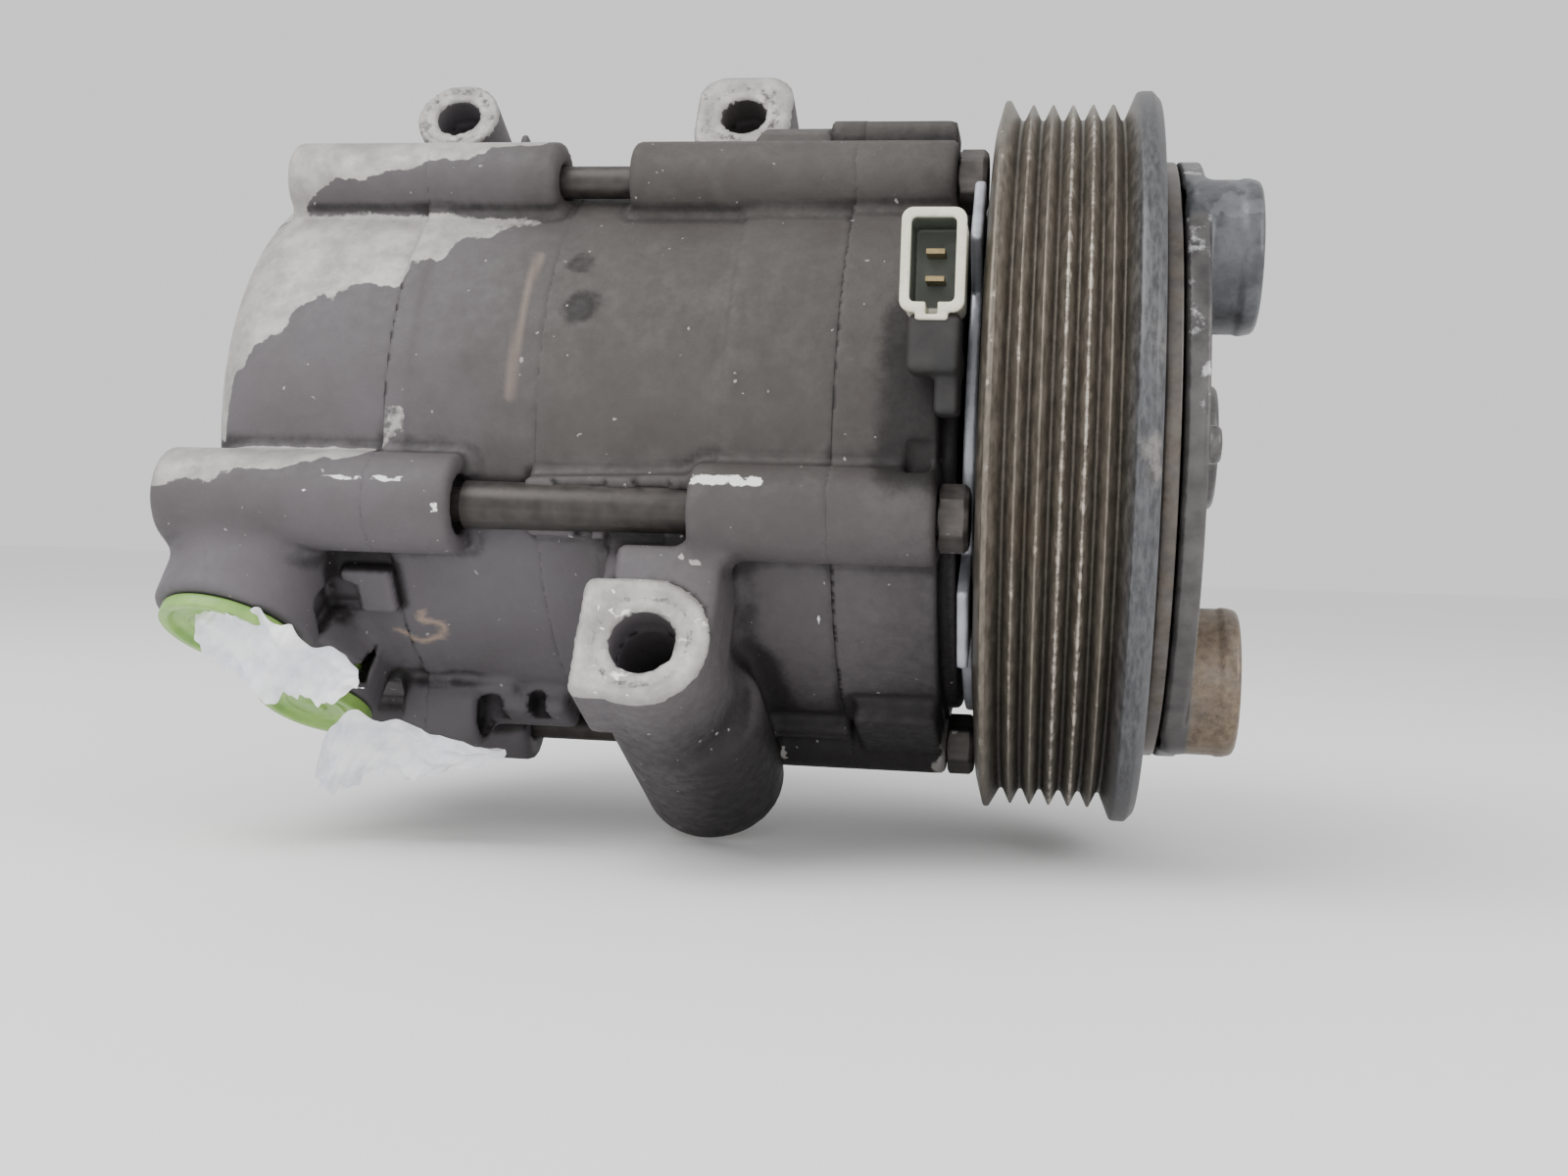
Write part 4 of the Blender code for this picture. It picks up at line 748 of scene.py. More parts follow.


# Painted values for a casting: painted shade in the crevices where the case's own skin stands close in front,
# darker near the pulley, painted shade low down and a painted shadow under the connector, with patchy dirt
# and small dark spots; violet on the lower bosses, bare metal with a painted highlight on the worn upper
# rear, bare metal on machined faces, chips on edges, and tan along two thin lines. Each is a sum, or the
# largest, of products of smooth steps of the station, angle and radius.
def casePaint(field, p):
    out = slope(field, p)
    # how close the case's own skin stands in front of each point, for painted shade in crevices
    creviceShade = np.zeros(len(p))
    for reach in (1.5, 3.5, 7.0):
        creviceShade += np.clip(1 - wholeCase(p + out * reach) / reach, 0, 1) / 3
    edge = np.clip(1 + field(p - out * 1.2) / 1.2, 0, 1)
    angle = np.degrees(np.arctan2(-p[:, 1], p[:, 2])) % 360
    off = np.hypot(p[:, 1], p[:, 2])
    x = p[:, 0]
    wobble = ripple(p, 26, 0.7) + 0.5 * ripple(p, 9, 2.1)
    nearSide = angle < 180
    # painted shade in crevices, and darker towards the pulley
    dirtAndShade = rise(creviceShade, 0.10, 0.62) * 0.95 + rise(x, 108, 134) * 0.35
    # painted shade low down at the front
    dirtAndShade += rise(-p[:, 2], 14, 56) * rise(x, 84, 98) * 0.40
    dirtAndShade += rise(wobble, 0.1, 1.6) * 0.12
    # painted shade low down by the leg
    dirtAndShade += rise(-p[:, 2], 40, 56) * rise(x, 72, 80) * 0.62
    # a painted shadow under the connector
    stem = rise(x, 118, 123) * rise(angle, 62, 68) * (1 - rise(angle, 96, 101))
    dirtAndShade += stem * (0.85 + 0.15 * wobble)
    for station, turn, size in ((65.9, 54.8, 2.6), (68.6, 64.5, 3.4), (66.5, 66.5, 2.6), (12.0, 99.0, 1.6)):
        away = np.linalg.norm(p - around(turn, 51.7, station), axis=1) + 0.8 * ripple(p, 5, station)
        dirtAndShade += 0.75 * (1 - rise(away, size * 0.4, size * 1.5))
    violet = rise(angle, 92, 112) * (angle < 230) * (1.0 - 0.45 * rise(x, 60, 100)) + 0.25 * (angle > 230)
    violet = np.maximum(violet, (1 - rise(x + 5 * wobble, 34, 70)) * 0.75)
    # The worn upper rear and the top of the first boss: bare metal with a painted highlight.
    boundary = np.interp(x, (-4, 4, 5.6, 11.5, 15.9, 20.5, 32.7, 38.6, 48.2, 57.5, 66.5),
                         (96, 93, 80, 74, 68, 63.5, 60.7, 54.3, 48.4, 41.5, 32)) + 2.6 * wobble
    fade = 1 - 0.42 * rise(x, 26, 56)
    bareAndHighlight = rise(boundary - angle, -1.5, 2.5) * rise(angle, 38, 42) * nearSide * (off < 53.2) * 0.95 * fade
    boss = around(case["firstBolt"], case["boltCircle"])
    onBoss = np.hypot(p[:, 1] - boss[1], p[:, 2] - boss[2]) < 8.2
    line = np.interp(x, (8, 14, 30, 55, 60), (-1.2, -0.3, 0.15, 0.75, 1.3))
    up = (p[:, 2] - boss[2]) / 7.5 - line + 0.15 * wobble
    bareAndHighlight = np.maximum(bareAndHighlight, rise(up, -0.1, 0.15) * (x < 60) * onBoss)
    line = np.interp(x, (-4, 6, 30, 44), (101, 100, 96.5, 90))
    low = rise(line + wobble - angle, -0.8, 0.8) * (angle > 86) * (x < 44)
    bareAndHighlight = np.maximum(bareAndHighlight, low * rise(off, 51.0, 53.0) * 0.85)
    bareAndHighlight = np.maximum(bareAndHighlight, rise(edge, 0.45, 0.9) * (0.32 + 0.12 * wobble))
    far = rise(np.sin((angle - 250) * 0.035) * 20 + 8 * wobble - x + 12, -2, 4) * (angle > 200) * (off < 53)
    bareAndHighlight = np.maximum(bareAndHighlight, far * 0.6)
    rearFace = (1 - rise(x, 0.5, 5.0)) * (1 - rise(off, 44, 50))
    bareAndHighlight = bareAndHighlight * (1 - rearFace) + rearFace * (0.34 + 0.22 * wobble)
    smear = rise(x, 125, 131) * rise(angle, 158, 166) * (angle < 200) * (off > 50)
    bareAndHighlight = np.maximum(bareAndHighlight, smear * (0.5 + 0.4 * wobble))
    for lug, reach in ((rearLug, 9.5), (frontLug, 11.5), (lowerLug, 16.5)):
        rel = p - lugPoint(lug, 0)
        depth = rel @ lugAxis
        side = np.linalg.norm(rel - depth[:, None] * lugAxis, axis=1)
        face = (np.abs(depth - lug["near"]) < 1.3) | (np.abs(depth - lug["far"]) < 1.3)
        ring = (side < lug["hole"] + 3.0) * (side > lug["hole"] + 1.6)
        held = 1 - 0.46 * ring if lug is lowerLug else 0.62 - 0.08 * ring
        bareAndHighlight = np.maximum(bareAndHighlight, face * (side < reach) * (side > lug["hole"] - 0.2) * held)
        bareAndHighlight = np.where((side < lug["hole"] + 0.3) & (depth < lug["near"] - 1.2), 0.0, bareAndHighlight)
        dirtAndShade = np.where(face & (side < reach) & (side > lug["hole"]), 0.12, dirtAndShade)
    chip = rise(edge, 0.5, 0.95) * rise(ripple(p, 13, 4.0), 0.35, 0.9) * 0.44
    patch = block(p, around(98.0, 61.0, 96.5), (13.0, 6.0, 2.2), sideRows(98.0))
    chip = np.maximum(chip, rise(-patch, -1.0, 0.8) * (0.62 + 0.12 * ripple(p, 5, 1.0)))
    for place, size in ((around(99, 62, 35), (15, 5, 1.2)), (around(113, 62.5, 105), (6, 5, 0.7)),
                        (around(113, 62.5, 112), (1.2, 5, 0.9)), (around(101, 62, 26), (3, 5, 0.7)),
                        (around(126, 53, 110), (1.0, 6, 2.2)), (around(103, 62, 48), (1.2, 5, 1.8)),
                        (around(150, 55, 112), (0.9, 6, 1.6)), (around(66, 52, 60), (0.6, 4, 9))):
        spot = block(p, place, size)
        chip = np.maximum(chip, rise(-spot, -0.8, 0.3) * (0.52 + 0.16 * ripple(p, 3.4, 3.0)))
    tan = np.zeros(len(p))
    arc = ((58.2, 52.5), (57.7, 60.4), (57.4, 67.2), (57.0, 76.0), (56.9, 84.0))
    curl = ((32.5, 134.0), (36.5, 136.5), (40.8, 135.5), (41.5, 132.0), (37.8, 130.6), (38.2, 128.5))
    for line, radius, strength in ((arc, 51.6, 0.30), (curl, 51.8, 0.85)):
        ends = [around(turn, radius, station) for station, turn in line]
        mark = np.minimum.reduce([bar(p, start, end, 0.2) for start, end in zip(ends, ends[1:])])
        tan = np.maximum(tan, (1 - rise(mark, 0.0, 0.75)) * strength)
    lower = p - lugPoint(lowerLug, 0)
    depth = lower @ lugAxis
    worn = (np.abs(depth - 42.5) < 1.2) * rise(ripple(p, 7, 5.0), -0.3, 0.7)
    side = np.linalg.norm(lower - depth[:, None] * lugAxis, axis=1)
    chip = np.maximum(chip, worn * (side < 16.5) * (side > 5.3) * 0.56)
    return {"dirtAndShade": dirtAndShade * (bareAndHighlight < 0.5), "violet": violet, "bareAndHighlight": bareAndHighlight, "chip": chip, "tan": tan}


for node, (field, step) in castings.items():
    low, high = cadBox(node)
    reach = 2.0
    verts, quads = skin(field, low - reach, high + reach, step)
    verts = settle(field, verts, step)
    paint = casePaint(field, verts)
    name = node.replace("_", "") + "Casting"
    casting = makeMesh(name, verts, [quads], "case", castAluminium, paint=paint)
    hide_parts(node)
    print("casting", node, len(quads) * 2, "triangles")


def ownsNode(node):
    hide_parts(node)


# Hexagon: the factor that takes a circle of the corner radius to six flats
def sixFlats(turns):
    local = (turns + math.pi / 6) % (math.pi / 3) - math.pi / 6
    return math.cos(math.pi / 6) / np.cos(local)


bolt = {
    "tip": 18.0, "seat": 130.8, "shank": 2.9, "corner": 5.77, "head": 5.0,
    "sleeve": (50.5, 90.5, 4.1), "sleeved": 1,  # the sleeve's ends and radius, and which bolt shows it
}


# Through bolt: an open profile of (station, radius, share of hexagon) round the bolt's own axis. The shank is
# round, and the head is a hexagon with a chamfered top.
def makeBolt(index):
    seat, shank, corner = bolt["seat"], bolt["shank"], bolt["corner"]
    tip, top = bolt["tip"], bolt["seat"] + bolt["head"]
    start, end, radius = bolt["sleeve"]
    sleeve = ((start, shank, 0), (start, radius, 0), (end, radius - 0.3, 0), (end, shank, 0))
    rough = np.array((
        (tip, 0, 0), (tip, shank - 0.5, 0), (tip + 0.6, shank, 0),
        *(sleeve if index == bolt["sleeved"] else ()),
        (seat, shank, 0), (seat + 0.02, corner - 0.6, 0), (seat + 0.3, corner, 1), (top - 0.9, corner, 1),
        (top - 0.15, corner - 0.75, 0.5), (top, corner - 1.5, 0), (top - 0.4, 2.0, 0), (top - 0.4, 0, 0)))
    place = around(boltAngle(index), case["boltCircle"])
    verts, quads, tris = turnedGrid(eased(rough, 0.18), place, count=72, shape=sixFlats, phase=0.3 * index)
    off = np.linalg.norm((verts - place)[:, 1:], axis=1)
    dirtAndShade = 0.25 + 0.35 * rise(-verts[:, 0], -135.4, -131) + 0.2 * ripple(verts, 6, index)
    paint = {"dirtAndShade": dirtAndShade, "bareAndHighlight": 0.36 * rise(off, 4.9, 5.7)}
    made = makeMesh(f"throughBolt{index + 1}", verts, [quads, tris], "case", boltSteel, paint=paint)
    ownsNode(f"case_bolt_{index + 1}")


for index in range(5):
    makeBolt(index)
print("bolts")

pulley = {
    "rear": 136.8, "front": 165.2, "centre": 150.0, "pitch": 3.56, "grooves": 6,
    "ridge": 65.6, "valley": 62.8,
    "rearFlange": 66.4, "frontFlange": 67.9, "rimBore": 57.4, "seat": 31.3, "sleeve": 35.0, "web": 160.2,
    "sleeveRear": 139.0, "turns": 288,
}


# The rim's outline: V grooves at each pitch between the two flanges, then inside to the web and bearing seat
def pulleyOutline():
    c = pulley
    start = c["centre"] - c["grooves"] / 2 * c["pitch"]
    points = [(c["rear"], c["valley"] - 0.8), (c["rear"] + 1.2, c["rearFlange"]),
              (c["rear"] + 2.0, c["rearFlange"])]
    for groove in range(c["grooves"]):
        middle = start + (groove + 0.5) * c["pitch"]
        points += [(middle - 0.3, c["valley"]), (middle + 0.3, c["valley"])]
        if groove < c["grooves"] - 1:
            ridge = middle + c["pitch"] / 2
            points += [(ridge - 0.16, c["ridge"]), (ridge + 0.16, c["ridge"])]
    edge = c["front"] - 1.4
    points += [(edge - 2.6, c["frontFlange"] - 0.2), (edge - 1.8, c["frontFlange"]),
               (edge, c["frontFlange"]), (c["front"], c["frontFlange"] - 1.5), (c["front"], c["seat"]),
               (c["sleeveRear"], c["seat"]),
               (c["sleeveRear"], c["sleeve"]), (c["web"], c["sleeve"]), (c["web"], c["rimBore"]),
               (c["rear"], c["rimBore"])]
    return points


ring = eased(pulleyOutline() + pulleyOutline()[:1], 0.28, 2)[:-1]
verts, quads, tris = turnedGrid(ring, count=pulley["turns"], closed=True)
verts, faces = joinGrids([(verts, quads, tris)])
off, turn = np.hypot(verts[:, 1], verts[:, 2]), np.arctan2(verts[:, 1], verts[:, 2])
x = verts[:, 0]
patchy = ripple(verts, 30, 1.0)
uneven = np.sin(x * 2.3 + 1.0) * 0.5 + np.sin(x * 1.27) * 0.5  # some ridges get a brighter painted highlight than others
# Painted highlights: a bright line along each ridge tip and a bright band across the middle height of the
# front flange.
ridge = rise(off, 65.2, 65.5) * (x > 139.6) * (x < 160.5)
flangeFace = rise(off, 65.4, 67.0) * (x > 160.4)
bareAndHighlight = ridge * (0.42 + 0.14 * uneven + 0.08 * patchy)
bareAndHighlight += flangeFace * (0.16 + 0.26 * rise(-np.abs(verts[:, 2] - 14), -34, -6) + 0.16 * patchy)
bareAndHighlight += rise(x, 163.6, 164.6) * rise(off, 66.0, 66.8) * (0.14 + 0.10 * ripple(verts, 9, 4.0))
bareAndHighlight = np.maximum(bareAndHighlight, rise(off, 65.9, 66.3) * (x < 139.4) * (0.30 + 0.25 * ripple(verts, 12, 2.0)))
# Painted shade down in the grooves, inside the rim and towards the bottom, with patchy dirt; on the front
# flange, painted shade towards the bottom.
dirtAndShade = (1 - rise(off, 62.9, 64.6)) * (off > 60) * (x < 161) * 0.55 + (off < 60) * 0.5 + 0.08 * patchy
dirtAndShade += rise(-verts[:, 2], -6, 62) * 0.36
dirtAndShade = np.where(x > 161, 0.12 + 0.12 * patchy + rise(-verts[:, 2], 6, 60) * 0.30, dirtAndShade)
cool = rise(x, 160.2, 161.2) * (0.9 - 0.25 * rise(patchy, 0.4, 1.4))
rust = 0.22 * rise(patchy, 0.2, 1.2) * (x < 160)
pulleyRim = makeMesh("pulleyRim", verts, faces, "pulley", pulleySteel,
                     paint={"bareAndHighlight": bareAndHighlight, "dirtAndShade": dirtAndShade, "cool": cool, "rust": rust})
ownsNode("pulley")
print("pulley")

clutch = {
    "plate": (169.0, 173.0), "radius": 55.4, "hubRear": 162.4, "hub": 12.0, "bore": 6.8,
    "well": (169.8, 10.0), "cupCircle": 43.3, "cupAngles": (38.2, 158.2, 278.2),
    "cup": 13.2, "cupFront": 182.2, "wall": 1.6, "step": 0.66,
}


# distance to a round bar between two stations on one cup's own axis
def cupBar(p, angle, start, end, radius, rounding=0.0):
    axisPoint = around(angle, clutch["cupCircle"])
    return bar(p, axisPoint + (start, 0, 0), axisPoint + (end, 0, 0), radius, rounding)


# Hub plate: a disc with a shallow ring pressed into its face, a round hub, three deep cups and three rivets
def hubField(p):
    c = clutch
    low, high = c["plate"]
    top = c["cupFront"]
    f = hoop(p, low, high, -c["radius"], c["radius"], 0.6)
    f = np.minimum(f, hoop(p, c["hubRear"], high, -c["hub"], c["hub"], 0.4))
    f = carve(f, hoop(p, high - 0.7, high + 3, 24.0, 51.0, 0.4), 0.5)
    cups, rooms, rivets = [], [], []
    for angle in c["cupAngles"]:
        cup = cupBar(p, angle, low + 1, top, c["cup"], 1.3)
        cups.append(np.minimum(cup, cupBar(p, angle, 178.4, 180.9, c["cup"] + 0.22, 0.8)))
        room = cupBar(p, angle, low - 5, top - c["wall"], c["cup"] - c["wall"])
        rooms.append(np.minimum(room, cupBar(p, angle, top - 0.5, 190, 8.2)))
        rivet = around(angle + 52, 50.3, 0)
        rivets.append(bar(p, rivet + (high - 1, 0, 0), rivet + (175.2, 0, 0), 3.1, 1.0))
    f = melt(f, np.minimum.reduce(cups), 1.6)
    f = melt(f, np.minimum.reduce(rivets), 0.4)
    seat, well = c["well"]
    holes = np.minimum(hoop(p, seat, 190, -well, well), hoop(p, 150, 190, -c["bore"], c["bore"]))
    return carve(f, np.minimum.reduce((*rooms, holes)), 0.4)


low, high = cadBox("hub_plate")
verts, quads = skin(hubField, low - 0.6, high + 0.6, clutch["step"])
verts = settle(hubField, verts, clutch["step"])
low, high = clutch["plate"]
off = np.hypot(verts[:, 1], verts[:, 2])
rusty = around(clutch["cupAngles"][1], clutch["cupCircle"])
topCup = around(clutch["cupAngles"][0], clutch["cupCircle"])
onRusty = np.linalg.norm((verts - rusty)[:, 1:], axis=1) < clutch["cup"] + 0.6
onTop = np.linalg.norm((verts - topCup)[:, 1:], axis=1) < clutch["cup"] + 0.6
edge = rise(off, clutch["radius"] - 1.0, clutch["radius"] - 0.2)
streak = ripple(verts, 16, 3.0)
# painted highlights along the upper part of the rim, on the cups' front lips and on the top cup
bareAndHighlight = edge * (0.34 + 0.30 * streak) * rise(verts[:, 2], -20, 12) + rise(verts[:, 0], 181.2, 182.0) * 0.28
bareAndHighlight += onTop * (0.10 + 0.16 * streak)
rust = rise(verts[:, 0], 173.4, 174.2) * onRusty * (0.72 + 0.22 * streak)
dirtAndShade = 0.30 * (verts[:, 0] < 173.6) + 0.2 * rise(streak, 0, 1.2)
hubPlate = makeMesh("hubPlate", verts, [quads], "shaft", clutchSteel,
                    paint={"bareAndHighlight": bareAndHighlight, "rust": rust, "cool": 0.85 * onTop, "dirtAndShade": dirtAndShade * (rust < 0.3)})
ownsNode("hub_plate")

# Armature: a ring with eased edges and a pin in each cup
armature = {"rear": 165.9, "front": 168.6, "inner": 30.0, "outer": 55.4, "pin": 3.0, "pinFront": 178.2}
a = armature
outline = [(a["rear"], a["inner"]), (a["rear"], a["outer"]),
           (a["front"], a["outer"]), (a["front"], a["inner"])]
grids = [turnedGrid(eased(outline + outline[:1], 0.4, 2)[:-1], count=192, closed=True)]
pin = np.array(((a["front"] - 1, 0), (a["front"] - 1, a["pin"]), (a["pinFront"] - 0.5, a["pin"]),
                (a["pinFront"], a["pin"] - 0.5), (a["pinFront"], 0)))
for angle in clutch["cupAngles"]:
    grids.append(turnedGrid(pin, around(angle, clutch["cupCircle"]), count=32))
verts, faces = joinGrids(grids)
streak = ripple(verts, 14, 5.0)
off = np.hypot(verts[:, 1], verts[:, 2])
bareAndHighlight = rise(off, 54.4, 55.2) * (0.16 + 0.2 * streak)
paint = {"bareAndHighlight": bareAndHighlight, "dirtAndShade": 0.34 + 0.2 * streak, "rust": 0.2 + 0.2 * streak}
made = makeMesh("armaturePlate", verts, faces, "armature", clutchSteel, paint=paint)
ownsNode("armature_plate")

# Hub bolt: a washer and a hexagon head on a short round shank
hubBolt = {"tip": 159.4, "seat": 170.1, "shank": 3.0, "washer": 8.5, "corner": 5.77}
tip, seat, shank = hubBolt["tip"], hubBolt["seat"], hubBolt["shank"]
washer, headCorner = hubBolt["washer"], hubBolt["corner"]
rough = np.array((
    (tip, 0, 0), (tip, shank - 0.4, 0), (tip + 0.5, shank, 0), (seat, shank, 0), (seat, washer, 0),
    (seat + 1.6, washer, 0), (seat + 1.6, 5.6, 0), (seat + 1.7, headCorner, 1), (seat + 5.0, headCorner, 1),
    (seat + 5.5, 4.8, 0.3), (seat + 5.3, 0, 0)))
verts, quads, tris = turnedGrid(eased(rough, 0.25), count=72, shape=sixFlats)
paint = {"bareAndHighlight": 0.4 * rise(verts[:, 0], 174, 175.4), "dirtAndShade": np.full(len(verts), 0.2)}
made = makeMesh("hubBolt", verts, [quads, tris], "shaft", boltSteel, paint=paint)
ownsNode("hub_bolt")
print("clutch")

# Coil housing: a deep steel trough, and the coil plate: a thin ring with three bent tabs
coil = {"back": 136.3, "front": 158.0, "inner": 36.0, "outer": 56.3, "wall": 3.0, "tabAngles": (50, 122, 266)}
c = coil
outline = [
    (c["back"], c["inner"]), (c["front"], c["inner"]), (c["front"], c["inner"] + c["wall"]),
    (c["back"] + c["wall"], c["inner"] + c["wall"]), (c["back"] + c["wall"], c["outer"] - c["wall"]),
    (c["front"], c["outer"] - c["wall"]), (c["front"], c["outer"]), (c["back"], c["outer"])]
verts, faces = joinGrids([turnedGrid(eased(outline + outline[:1], 0.5, 2)[:-1], count=160, closed=True)])
haze = 0.4 + 0.2 * ripple(verts, 12, 2.0)
made = makeMesh("coilHousing", verts, faces, "case", coilPaint, paint={"dirtAndShade": haze})
ownsNode("coil_housing")


def coilPlateField(p):
    tabs = [block(p, around(angle, 50.0, 135.0), (1.9, 20.0, 15.0), sideRows(angle), 0.5)
            for angle in coil["tabAngles"]]
    return np.minimum.reduce([hoop(p, 134.0, 136.0, 20.2, 48.5, 0.3), *tabs])


low, high = cadBox("coil_plate")
verts, quads = skin(coilPlateField, low - 0.4, high + 0.4, 0.55)
verts = settle(coilPlateField, verts, 0.55)
worn = ripple(verts, 8, 1.5)
off = np.hypot(verts[:, 1], verts[:, 2])
made = makeMesh("coilPlate", verts, [quads], "case", zincPlate,
                paint={"dirtAndShade": 0.12 + 0.16 * worn + 0.4 * (off < 47), "bareAndHighlight": 0.2 * worn})
ownsNode("coil_plate")
print("coil")

socket = {"centre": (128.9, -56.0, 27.2), "size": (9.8, 12.4, 16.0), "wall": 1.3, "floor": 2.0, "notch": 3.0}
uprightRows = np.array(((0.0, 1.0, 0.0), (1.0, 0.0, 0.0), (0.0, 0.0, 1.0)))  # thickness along Y


# Socket: a rounded box with a deep mouth on the near side, a key slot through the bottom wall and a round lip
def socketField(p):
    c = socket
    centre, size = np.array(c["centre"]), np.array(c["size"])
    f = plaque(p, centre, size[[1, 0, 2]], uprightRows, 1.7, 0.35)
    lipSize = (1.6, size[0] + 0.5, size[2] + 0.5)
    lip = plaque(p, centre - (0, size[1] / 2 - 0.9, 0), lipSize, uprightRows, 1.9, 0.4)
    key = block(p, centre - (0, 1.0, size[2] / 2 + 0.4), (c["notch"] + 2.2, size[1] - 2.4, 2.2), None, 0.5)
    f = melt(np.minimum(f, lip), key, 0.5)
    hollow = np.array((size[1] + 8, size[0] - 2 * c["wall"], size[2] - 2 * c["wall"]))
    mouth = plaque(p, centre - (0, c["floor"] + 4, 0), hollow, uprightRows, 0.9, 0.2)
    slot = block(p, centre - (0, 6.0, size[2] / 2 - 0.4), (c["notch"] - 1.0, 12.0, 2.0), None, 0.2)
    return carve(f, np.minimum(mouth, slot), 0.25)


low, high = cadBox("connector")
verts, quads = skin(socketField, low - 1.2, high + 0.9, 0.3)
verts = settle(socketField, verts, 0.3)
rel = (verts - np.array(socket["centre"])) / (np.array(socket["size"]) / 2)
# painted shade deep in the socket's mouth, and patchy soil
mouthShade = rise(rel[:, 1], -0.98, -0.72) * (np.abs(rel[:, 0]) < 0.76) * (np.abs(rel[:, 2]) < 0.86)
soil = 0.16 * rise(ripple(verts, 5, 2.0), 0.1, 1.0)
paint = {"soilAndShade": np.clip(mouthShade + soil, 0, 1)}
made = makeMesh("connectorShell", verts, [quads], "case", creamPlastic, paint=paint)
ownsNode("connector")

foot = {
    "centre": (129.4, -57.5, 14.15), "size": (8.6, 8.0, 9.5),
    "neck": (131.6, -56.6, 7.9), "neckSize": (4.2, 6.0, 10.0),
}


# Foot: a rounded block below the socket, which runs into a narrower neck
def footField(p):
    f = block(p, foot["centre"], foot["size"], None, 1.4)
    return melt(f, block(p, foot["neck"], foot["neckSize"], None, 1.2), 1.6)


low, high = cadBox("connector_foot")
verts, quads = skin(footField, low - 0.5, high + 0.5, 0.45)
verts = settle(footField, verts, 0.45)
made = makeMesh("connectorFoot", verts, [quads], "case", darkPlastic)
ownsNode("connector_foot")
print("connector")

# Relief valve: a hexagon with a turned collar and tip, along a line that points out from the shaft
valve = {"angle": 283.0, "x": 22.0, "seat": 56.3, "thread": 4.7, "corner": 8.0}
rough = np.array((
    (-8.8, 0, 0), (-8.8, 4.2, 0), (-8.2, valve["thread"], 0), (0, valve["thread"], 0), (0.02, 7.0, 0),
    (0.5, valve["corner"], 1), (5.4, valve["corner"], 1), (6.2, 6.6, 0), (6.2, 4.0, 0), (7.6, 3.8, 0),
    (7.7, 1.5, 0), (7.0, 1.4, 0), (7.0, 0, 0)))
rough[:, 0] += valve["seat"]
out = around(valve["angle"], 1.0)
verts, quads, tris = turnedGrid(eased(rough, 0.25), (valve["x"], 0, 0), out, 72, sixFlats, phase=0.2)
paint = {"dirtAndShade": 0.25 + 0.2 * ripple(verts, 6, 1.0)}
made = makeMesh("reliefValve", verts, [quads, tris], "case", brassMetal, paint=paint)
ownsNode("relief_valve")

# Port caps: a hollow stem, a round flange and a dished top with a small pip in the middle
caps = {
    "suction": {"port": suctionPort, "flange": 12.3, "plug": 7.7, "pip": 2.2},
    "discharge": {"port": dischargePort, "flange": 10.4, "plug": 6.5, "pip": 1.8},
}
for name, c in caps.items():
    flange, plug, pip = c["flange"], c["plug"], c["pip"]
    stem = ((-5.5, 0), (-5.5, plug - 1.4), (-8.0, plug - 1.4), (-8.0, plug - 0.5), (-7.4, plug),
            (-5.0, plug - 0.12), (-4.4, plug + 0.05), (-3.8, plug - 0.12), (0.3, plug - 0.05))
    dish = ((0.3, flange), (2.6, flange), (2.6, flange - 1.6), (1.5, flange - 2.3), (1.4, flange - 4.2),
            (1.9, flange - 4.8), (1.4, flange - 5.4), (1.45, pip + 0.5), (2.1, pip), (2.2, 0))
    rough = np.array(stem + dish)
    verts, quads, tris = turnedGrid(eased(rough, 0.35), c["port"], portAxis, 96)
    made = makeMesh(f"{name}Cap", verts, [quads, tris], f"{name}_closure", greenPlastic,
                    paint={"soilAndShade": 0.18 * rise(ripple(verts, 6, 2.0), 0, 1)})
    ownsNode(f"{name}_cap")
print("caps")

# Torn films. A point is a smooth path's point at v, plus the across line times (u - 1/2) times the width at
# v, plus creases along the sheet's normal: ripples of three lengths. Both edges are torn to uneven widths.
films = {
    "suction": {
        "path": ((5.0, -58.5, -36.4), (12.5, -60.0, -38.2), (20.0, -60.8, -40.4), (27.5, -60.2, -41.8),
                 (35.0, -59.5, -43.2)),
        "width": (8.0, 13.0, 15.0, 11.0, 4.5), "across": (0.1, 0.3, -0.95), "crease": 1.1, "seed": 1.0,
        "flat": (18.0, 34.0), "area": 420.0},
    "discharge": {
        "path": ((22.5, -47.0, -62.5), (26.0, -45.0, -57.5), (34.5, -43.5, -56.0), (43.5, -43.0, -57.5),
                 (55.0, -42.0, -56.6)),
        "width": (2.5, 13.0, 11.0, 7.0, 2.6), "across": (0.05, 0.35, -0.93), "crease": 1.0, "seed": 4.0,
        "flat": (16.0, 38.0), "area": 362.0},
}


# a Catmull-Rom curve through the knots at shares from 0 to 1
def smoothPath(knots, shares):
    knots = np.asarray(knots, float)
    padded = np.concatenate((2 * knots[:1] - knots[1:2], knots, 2 * knots[-1:] - knots[-2:-1]))
    place = shares * (len(knots) - 1)
    cell = np.minimum(place.astype(int), len(knots) - 2)
    t = (place - cell)[:, None]
    a, b, c, d = (padded[cell + k] for k in range(4))
    return b + 0.5 * t * (c - a + t * (2 * a - 5 * b + 4 * c - d + t * (3 * (b - c) + d - a)))


